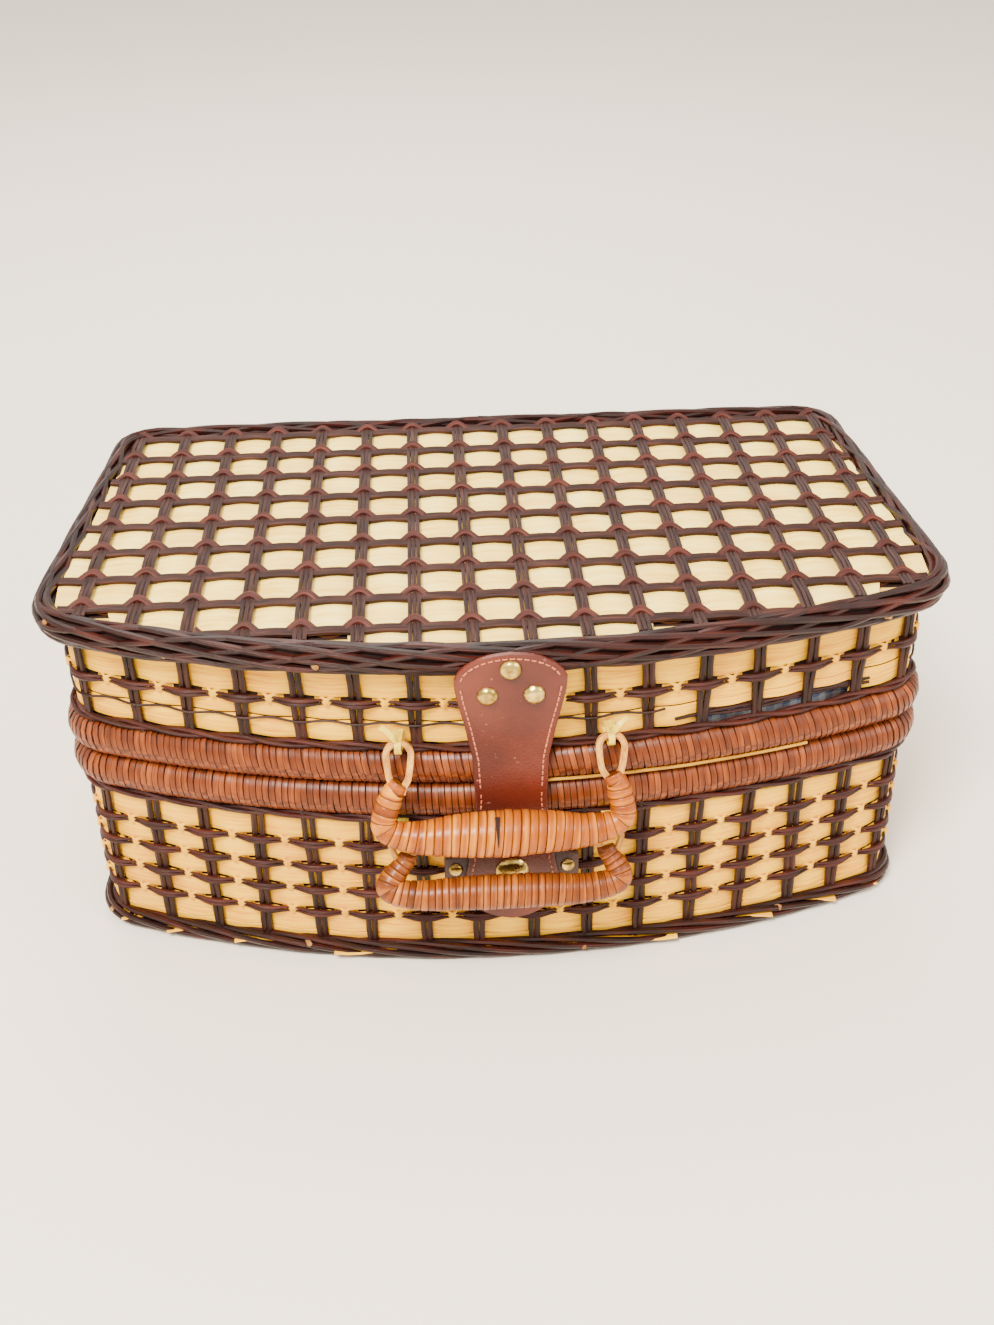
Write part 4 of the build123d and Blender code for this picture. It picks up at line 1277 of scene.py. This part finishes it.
def ties(body, seed):
    """Flat strips from the wall round the top of each eye, with two short tails."""
    pivot = [value / MM for value in JOINTS[f"{body}_handle_swing"]["pos_m"]]
    radius = 3.0
    back = FRONT_Y + SPLINT_INSET - pivot[1] + 1.0
    angles = np.linspace(math.pi / 2, math.pi * 1.5, 9)
    front_turn = [(radius * math.cos(a), radius * math.sin(a)) for a in angles]
    side_view = [(back, 2.0), (back * 0.5, radius)] + front_turn + [(back * 0.5, -radius), (back, -2.0)]
    run = smooth_line(side_view, 30)
    to_front, to_high = sideways(run)
    outward = np.column_stack([np.zeros(len(run)), -to_front, -to_high])
    tail_ends = [(0.0, 0.0, 3.0), (1.8, -1.0, 5.8), (4.4, 0.2, 8.8), (8.0, 2.6, 10.4)]
    lines = []
    for side in (-1, 1):
        for lean in (-1.6, 1.6):
            drift = np.linspace(-lean, lean, len(run))
            places = np.column_stack([side * EYE_X + drift, pivot[1] + run[:, 0], pivot[2] + run[:, 1]])
            lines.append(free_line(places, outward, (1.0, 0, 0), 12.0))
        tail = smooth_line([(side * x, y, z) for x, y, z in tail_ends], 14)
        tail = tail + np.array([side * EYE_X, pivot[1], pivot[2]])
        lines.append(free_line(tail, (0.0, -0.5, 0.85), (0.0, -0.85, -0.5), 12.0))
    return strands(f"{body}_handle_tie_strips", lines, flat_profile(1.0, 3.0, 0.4), TIE_CANE, body,
                   Jitter=0.5, Seed=seed)


lid_ties = ties("lid", 52.0)
base_ties = ties("base", 53.0)
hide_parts("lid_handle_ties")
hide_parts("base_handle_ties")

# %% [markdown]
# ## The leather strap, its stitching and its studs
#
# One strip of red-brown leather runs from the top border down over the parting to the patch. It
# narrows at the rims and widens again behind the handles. It is one mesh that runs between the
# lid and the strap's free end. A row of stitches runs inside each edge: one stitch is modelled
# and the second tree sets it along both edges. One brass dome serves for every rivet.

# %% Materials of the leather and the metal
def leather(name, dark, middle, light, wear, roughness=0.42):
    """Finished leather: a slow change of colour, a fine grain and small pale scuffs."""
    look = Shading(name)
    place = look.add("ShaderNodeTexCoord", output=3)
    slow = look.noise(place, 22.0, 3.0)
    colour = look.ramp(slow, (0.32, linear(*dark)), (0.5, linear(*middle)), (0.7, linear(*light)))
    pores = look.add("ShaderNodeTexVoronoi", {"Vector": place, "Scale": 900.0})
    specks = look.noise(place, 260.0, 2.0)
    scuff = look.add("ShaderNodeMapRange", {0: specks, 1: 0.70, 2: 0.78})
    colour = look.mix(look.math("MULTIPLY", scuff, 0.5), colour, linear(*wear))
    limits = {1: 0.3, 2: 0.7, 3: roughness + 0.08, 4: roughness - 0.08}
    rough = look.add("ShaderNodeMapRange", {0: slow, **limits})
    height = look.math("ADD", pores, look.math("MULTIPLY", slow, 1.5))
    return look.finish(colour, rough, height, 0.12, Specular_IOR_Level=0.4, Coat_Weight=0.05,
                       Coat_Roughness=0.3)


STRAP_LEATHER = leather("red_brown_leather", (63, 17, 8), (84, 26, 12), (102, 38, 19), (214, 150, 120))
PATCH_LEATHER = leather("dark_brown_leather", (37, 12, 7), (55, 20, 13), (76, 32, 21), (180, 120, 96))
STITCH = fibre("orange_stitching", (153, 76, 49), (185, 104, 72), (205, 131, 97), (3.0, 4.0), 0.5, (0.6, 0.8),
               0.1)


# %% Brass
def metal(name, dark, light, roughness):
    """Brass with a slow tarnish and small dents."""
    look = Shading(name)
    place = look.add("ShaderNodeTexCoord", output=3)
    tarnish = look.noise(place, 180.0, 3.0)
    colour = look.ramp(tarnish, (0.35, linear(*dark)), (0.62, linear(*light)))
    rough = look.add("ShaderNodeMapRange", {0: tarnish, 1: 0.3, 2: 0.7, 3: roughness + 0.12, 4: roughness})
    dents = look.noise(place, 300.0, 1.0)
    return look.finish(colour, rough, dents, 0.35, Metallic=1.0)


BRASS = metal("pale_brass", (132, 102, 36), (224, 196, 110), 0.22)
print("leather, stitching and brass made")

# %% The strap's outline and its line down the front
STRAP_X = 3.0
LEATHER = 2.5
STRAP_TOP, STRAP_LOW = 206.0, 34.2
STRAP_HALF_WIDTHS = (
    (STRAP_TOP, 0.6), (205.2, 8.5), (203.2, 15.5), (199.6, 22.0), (196.0, 25.6), (192.2, 27.4), (186.0, 27.2),
    (178.5, 26.0), (160.0, 22.4), (140.3, 19.3), (115.0, 18.3), (91.7, 19.8), (72.0, 23.0), (59.5, 25.5),
    (52.0, 25.0), (45.0, 21.6), (39.0, 15.4), (35.6, 8.5), (STRAP_LOW, 0.6))
STRAP_BACK = (
    (-0.6, 206.5), (-0.5, 196.0), (-0.2, 186.0), (3.2, 163.0), (6.4, 142.0), (6.7, 120.0), (6.7, 99.7),
    (7.4, 80.0), (7.7, 60.0), (7.7, 33.0))
strap_line = smooth_line([(FRONT_Y + y, z) for y, z in STRAP_BACK], 400)


def strap_back_at(z):
    return np.interp(z, strap_line[::-1, 1], strap_line[::-1, 0])


def strap_half_at(z):
    table = np.array(STRAP_HALF_WIDTHS)[::-1]
    return np.interp(z, table[:, 0], table[:, 1])


def on_strap(x, z, above=0.0):
    """A place on the strap's face, x from its middle."""
    return STRAP_X + x, strap_back_at(z) - LEATHER - above, z


# %% The strap as one mesh
def strap_mesh(name, heights, half_at, back_at, centre_x, thick, edge=0.8, columns=14):
    """A strip of leather: rows of one section, rounded at its edges."""
    points = []
    spread = np.linspace(1, -1, columns)
    for z in heights:
        half, back = float(half_at(z)), float(back_at(z))
        cut = min(edge, half * 0.5)
        section = [(half, -0.35 * thick), (half - cut * 0.3, -0.85 * thick)]
        section += [((half - cut) * u, -thick) for u in spread]
        section += [(-half + cut * 0.3, -0.85 * thick), (-half, -0.35 * thick), (-half + cut * 0.4, 0.0)]
        section += [((half - cut) * u, 0.0) for u in spread[::-1][1:-1]]
        section += [(half - cut * 0.4, 0.0)]
        points += [(centre_x + x, back + y, z) for x, y in section]
    around = len(points) // len(heights)
    ends = [ring_face(0, around)[::-1], ring_face(len(heights) - 1, around)]
    return mesh_object(name, points, (), tube_faces(len(heights), around) + ends)


row_heights = [np.linspace(STRAP_LOW, 60, 26), np.linspace(60, 192, 60), np.linspace(192, STRAP_TOP, 22)]
row_heights = np.unique(np.round(np.concatenate(row_heights), 2))[::-1]
strap = strap_mesh("leather_strap", row_heights, strap_half_at, strap_back_at, STRAP_X, LEATHER)
shaded(strap, 50, STRAP_LEATHER)
parting_back = strap_back_at(120.0) * MM
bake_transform(strap)
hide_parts("strap_upper", "strap_tab")
print(f"strap: {len(row_heights)} rows of {len(strap.data.vertices) // len(row_heights)} points")

# %% Stitch both edges of the strap
STITCH_PITCH = 3.5
STITCH_INSET = 3.0
ARCH_FROM = 190.0


def stitch_points(low, high):
    """Points and directions along both stitch lines between two heights, evenly spaced."""
    z = np.linspace(low, high, 300)
    runs = []
    if high >= ARCH_FROM:
        angles = np.linspace(-math.pi / 2, math.pi / 2, 200)[6:-6]
        half, rise = strap_half_at(ARCH_FROM) - STITCH_INSET, STRAP_TOP - ARCH_FROM - STITCH_INSET + 0.4
        arch_z = ARCH_FROM + rise * np.cos(angles)
        runs.append(np.column_stack(on_strap(half * np.sin(angles), arch_z, 0.1)))
    for side in (-1, 1):
        runs.append(np.column_stack(on_strap(side * (strap_half_at(z) - STITCH_INSET), z, 0.1)))
    made = []
    for line in runs:
        even = np.arange(0.5, int(lengths(line)[-1] / STITCH_PITCH)) * STITCH_PITCH
        places = along_line(line, even)
        along = along_line(line, even + 0.5) - places
        along /= np.linalg.norm(along, axis=1)[:, None]
        out = np.tile([0.0, -1.0, 0.0], (len(even), 1))
        made.append({"points": places, "turn": even, "out": out, "up": along})
    return made


def stitch_piece():
    """One stitch: a short thread that dips into the leather at both ends."""
    run = np.linspace(-1.25, 1.25, 7)
    lift = 0.22 * np.cos(run / 1.25 * math.pi / 2) - 0.05
    angles = [k / 6 * TAU for k in range(6)]
    points = [(x + 0.32 * math.cos(a), 0.42 * math.sin(a), z) for z, x in zip(run, lift) for a in angles]
    piece = mesh_object("stitch", points, (), tube_faces(len(run), len(angles)))
    carry(piece, "turn", [point[2] for point in points])
    carry(piece, "around", [0.0] * len(points))
    return piece


set_pieces("strap_upper_stitches", stitch_points(122.0, ARCH_FROM), stitch_piece(), STITCH, "lid", Tilt=0.06,
           Size=0.08, Seed=60)
set_pieces("strap_tab_stitches", stitch_points(44.0, 121.6), stitch_piece(), STITCH, "strap_tab", Tilt=0.06,
           Size=0.08, Seed=61)


# %% Set the brass rivets, the stud's cap and the patch
def dome_piece(radius, high, rim=0.14):
    """A domed head: a low skirt, then a dome."""
    rings = [(0.94, -0.05), (1.0, rim), (0.97, rim + 0.12), (0.86, 0.62), (0.66, 0.84)]
    rings += [(0.40, 0.96), (0.16, 1.0)]
    sides = 28
    ring = [(math.cos(k / sides * TAU), math.sin(k / sides * TAU)) for k in range(sides)]
    points = [(h * high, radius * r * c, radius * r * s) for r, h in rings for c, s in ring]
    return mesh_object("dome", points, (), tube_faces(len(rings), sides) + [ring_face(len(rings) - 1, sides)])


def heads(name, places, out, radius, high, body, node, seed):
    """Domed brass heads at some places, facing out."""
    places = np.asarray(places, float)
    count = len(places)
    points = level_line(np.arange(count), places[:, :2], np.tile(out, (count, 1)), places[:, 2])
    made = set_pieces(name, [points], dome_piece(radius, high), BRASS, body, Tilt=0.03, Spin=0.03, Size=0.02,
                      Seed=seed)
    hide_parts(node)


FORWARD, BACKWARD = (0.0, -1.0), (0.0, 1.0)
STUD_Z = 67.0
rivet_places = [on_strap(0, 197.4), on_strap(-11.4, 182.5), on_strap(11.4, 182.5)]
heads("strap_rivet_heads", rivet_places, FORWARD, 5.3, 3.0, "lid", "strap_rivets", 62)
heads("stud_cap_dome", [on_strap(0, STUD_Z)], FORWARD, 8.6, 3.0, "strap_tab", "press_stud_cap", 63)
patch_low, patch_high = (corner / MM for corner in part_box("stud_patch"))
patch_half, patch_middle = (patch_high.z - patch_low.z) / 2, (patch_high.z + patch_low.z) / 2


def rounded_half(half, corner, from_end):
    """Half the width of a strip with rounded corners, at a distance from its end."""
    return half - corner + math.sqrt(max(0.0, corner**2 - max(0.0, corner - from_end) ** 2))


def patch_width(z):
    return rounded_half((patch_high.x - patch_low.x) / 2, 3.0, patch_half - abs(z - patch_middle))


patch_rows = np.linspace(patch_low.z, patch_high.z, 25)
patch = strap_mesh("stud_patch_leather", patch_rows, patch_width, lambda z: patch_high.y, STRAP_X,
                   patch_high.y - patch_low.y, 0.6)
shaded(patch, 50, PATCH_LEATHER)
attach(patch, "base")
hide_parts("stud_patch")
rivet_places = [(STRAP_X + side * 29.5, patch_low.y, STUD_Z) for side in (-1, 1)]
heads("patch_rivet_heads", rivet_places, FORWARD, 3.8, 1.9, "base", "patch_rivets", 64)

# %% [markdown]
# ## The hinges at the back and the yellow cane under the lid's rim
#
# The photo doesn't show the back. Two short leather straps stand for its hinges. Each is one mesh
# that runs between the base and the lid. A single yellow cane runs along the parting on the
# right of the strap.

# %% Hinge straps, their rivets and the yellow cane
leaf_low, leaf_high = (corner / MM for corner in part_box("base_hinge_leaves"))
lid_leaf_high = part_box("lid_hinge_leaves")[1] / MM
hinge_rows = np.linspace(leaf_low.z, lid_leaf_high.z, 44)
HINGE_X = 130.0


def hinge_width(z):
    return rounded_half(15.0, 4.0, min(z - leaf_low.z, lid_leaf_high.z - z))


for side, label in ((-1, "left"), (1, "right")):
    hinge = strap_mesh(f"hinge_strap_{label}", hinge_rows, hinge_width, lambda z: leaf_high.y, side * HINGE_X,
                       leaf_high.y - leaf_low.y)
    shaded(hinge, 50, STRAP_LEATHER)
    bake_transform(hinge)
    if side < 0:
        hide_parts("base_hinge_leaves", "lid_hinge_leaves")
for body, z, seed in (("base", 109.5, 65), ("lid", 130.5, 66)):
    rivet_places = [(s * HINGE_X + x, leaf_high.y, z) for s in (-1, 1) for x in (-8, 8)]
    heads(f"{body}_hinge_heads", rivet_places, BACKWARD, 3.6, 1.8, body, f"{body}_hinge_rivets", seed)
YELLOW = fibre("yellow_cane", (120, 76, 8), (176, 122, 18), (214, 164, 44), (3.0, 8.0), 0.4, (0.3, 0.5), 0.12,
               coat=0.3)
yellow_line = ring_line(9.2, PARTING + 2.2, 10, 22.6, 27.5)
strands("yellow_parting_cane", [yellow_line], round_profile(0.85, 7), YELLOW, "lid", Jitter=0.8, Seed=67.0)

# %% [markdown]
# ## The lining and the floor
#
# A little blue and white cloth shows at the foot and through the lid's wall. The base and the lid
# are each lined with a side strip and a flat piece, all sheets of one checked cotton with loose
# pleats. The floor under it is woven of the same pale splints as the walls.

# %% The checked cotton
CHECK_MM = 9.0
THREADS_PER_MM = 2.5


def checked_cotton():
    look = Shading("blue_white_checked_cotton")
    bands, threads = [], {}
    for k, cloth in enumerate((look.attribute("warp"), look.attribute("weft"))):
        within = look.math("FRACT", look.math("DIVIDE", cloth, CHECK_MM), 0.0)
        bands.append(look.math("GREATER_THAN", within, 0.5))
        threads[k] = look.math("MULTIPLY", cloth, THREADS_PER_MM)
    # The check is the cloth's own. Both colours are also darkened: painted shade, for cloth in the shadow
    # inside the hamper.
    white, blue = linear(206, 212, 218), linear(62, 98, 150)
    amount = look.math("MULTIPLY", look.math("ADD", *bands), 0.42)
    thread_place = look.add("ShaderNodeCombineXYZ", threads)
    threads = look.add("ShaderNodeTexVoronoi", {"Vector": thread_place, "Scale": 1.0})
    colour = look.mix(amount, white, blue)
    return look.finish(colour, 0.9, threads, 0.1, Sheen_Weight=0.2)


COTTON = checked_cotton()


# %% Sew the linings
def lining(name, body, inset, low, high, cover, node):
    """A side strip with loose pleats, and a flat piece at one end. Both are sheets of cloth."""
    turn = np.linspace(0, CELLS, CELLS * 8 + 1)[:-1]
    rows = np.linspace(low, high, 12)
    points, warp, weft = [], [], []
    count = len(turn)
    for row, z in enumerate(rows):
        share = row / (len(rows) - 1)
        pleat = 0.7 * np.sin(turn / CELLS * TAU * 61 + 1.3 * np.sin(turn * 0.7))
        pleat = pleat + 0.4 * np.sin(turn * 2.9 + share * 2)
        places = outline(turn, inset + 1.0 + pleat * (0.4 + 0.6 * math.sin(share * math.pi)))[0]
        points.append(np.column_stack([places, np.full(count, z)]))
        warp.append(turn * CELL)
        weft.append(np.full(count, z))
    side = mesh_object(f"{name}_side", np.vstack(points), (), tube_faces(len(rows), count))
    carry(side, "warp", np.concatenate(warp))
    carry(side, "weft", np.concatenate(weft))
    places = outline(turn[::4], inset + 1.6)[0]
    centre = places.mean(axis=0)
    rings = np.linspace(1.0, 0.06, 16)
    points, count = [], len(places)
    for share in rings:
        flat = centre + (places - centre) * share
        lift = 0.5 * np.sin(flat[:, 0] * 0.05 + flat[:, 1] * 0.031) * (1 - share)
        points.append(np.column_stack([flat, cover + lift]))
    points = np.vstack(points)
    faces = tube_faces(len(rings), count) + [ring_face(len(rings) - 1, count)]
    cover_piece = mesh_object(f"{name}_cover", points, (), faces)
    carry(cover_piece, "warp", points[:, 0])
    carry(cover_piece, "weft", points[:, 1])
    for piece in (side, cover_piece):
        shaded(piece, 60, COTTON)
        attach(piece, body)
    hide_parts(node)


LINING_IN = 22.8
lining("base_cotton", "base", LINING_IN, 8.6, 116.4, 9.0, "base_lining")
lining("lid_cotton", "lid", LINING_IN, 123.6, 198.6, 198.2, "lid_lining")

# %% Weave the floor
FLOOR_INSET = 12.0
floor_low, floor_high = (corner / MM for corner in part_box("base_floor"))
floor_middle = (floor_low.z + floor_high.z) / 2
FLOOR_PITCH = 28.0
FLOOR_SPLINT_PITCH = 12.4
first_splint = FRONT_Y + 20
floor_lines = lines_at(1, np.arange(first_splint, BACK_Y - 10, FLOOR_SPLINT_PITCH), floor_middle,
                       FLOOR_PITCH * 2, 0.0, inset=FLOOR_INSET)
for k, line in enumerate(floor_lines):
    line["turn"] = line["turn"] + 0.5 * (k % 2)
floor_splints = strands("floor_splints", floor_lines, flat_profile(0.9, 12.0, 0.4), SPLINT, "base", Out=1.5,
                        Jitter=0.4, Seed=70.0)
rod_lines = lines_at(0, np.arange(-7.5, 8) * FLOOR_PITCH, floor_middle, FLOOR_SPLINT_PITCH * 2, first_splint,
                     shifts=(-1.6, 1.6), inset=FLOOR_INSET)
strands("floor_rods", rod_lines, round_profile(1.4, 6), STAKE_ROD, "base", Jitter=0.3, Seed=71.0)
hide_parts("base_floor")
# Painted shade: a dark strip behind the foot, for the shadow under the lowest splints.
strands("foot_backing", [ring_line(16.0, 9.5, 4)], flat_profile(0.8, 9.0, 0.3), SHADE, "base")

# %% Materials and slots of the CAD parts that stay
for node in ("press_stud_socket", "press_stud_post"):
    part = bpy.data.objects[node]
    part.data.materials.clear()
    part.data.materials.append(BRASS)
    print(node, "is brass")

# %% [markdown]
# ## Which finish each piece takes
#
# Eight finishes group the materials made above, so that each material belongs to one of them. The
# pieces are counted by the finish of their first material.

# %% Count the pieces of each finish
FINISHES = {
    "cane_splint": ("split_cane", "bleached_split_cane"),
    "dark_rod": ("mauve_brown_rod", "rosy_brown_rod", "dark_red_brown_rod", "grey_brown_rod",
                 "reddish_arch_rod", "dark_inner_strand"),
    "lapped_cane": ("orange_brown_lapping", "dark_hoop_core"),
    "handle_cane": ("golden_winding", "brown_winding"),
    "pale_cane": ("pale_peeled_cane", "yellow_green_tie", "yellow_cane", "pale_cut_end"),
    "leather": ("red_brown_leather", "dark_brown_leather", "orange_stitching"),
    "brass": ("pale_brass",),
    "lining_cloth": ("blue_white_checked_cotton",),
}
slot_of = {material: slot for slot, materials in FINISHES.items() for material in materials}
slotted = {slot: 0 for slot in FINISHES}
for piece in sorted(scene.objects, key=lambda each: each.name):
    if piece.type != "MESH" or piece.hide_render:
        continue
    made_of = [material.name for material in piece.data.materials if material]
    slot = slot_of.get(made_of[0]) if made_of else None
    if slot:
        slotted[slot] += 1
print("pieces by finish:", slotted)
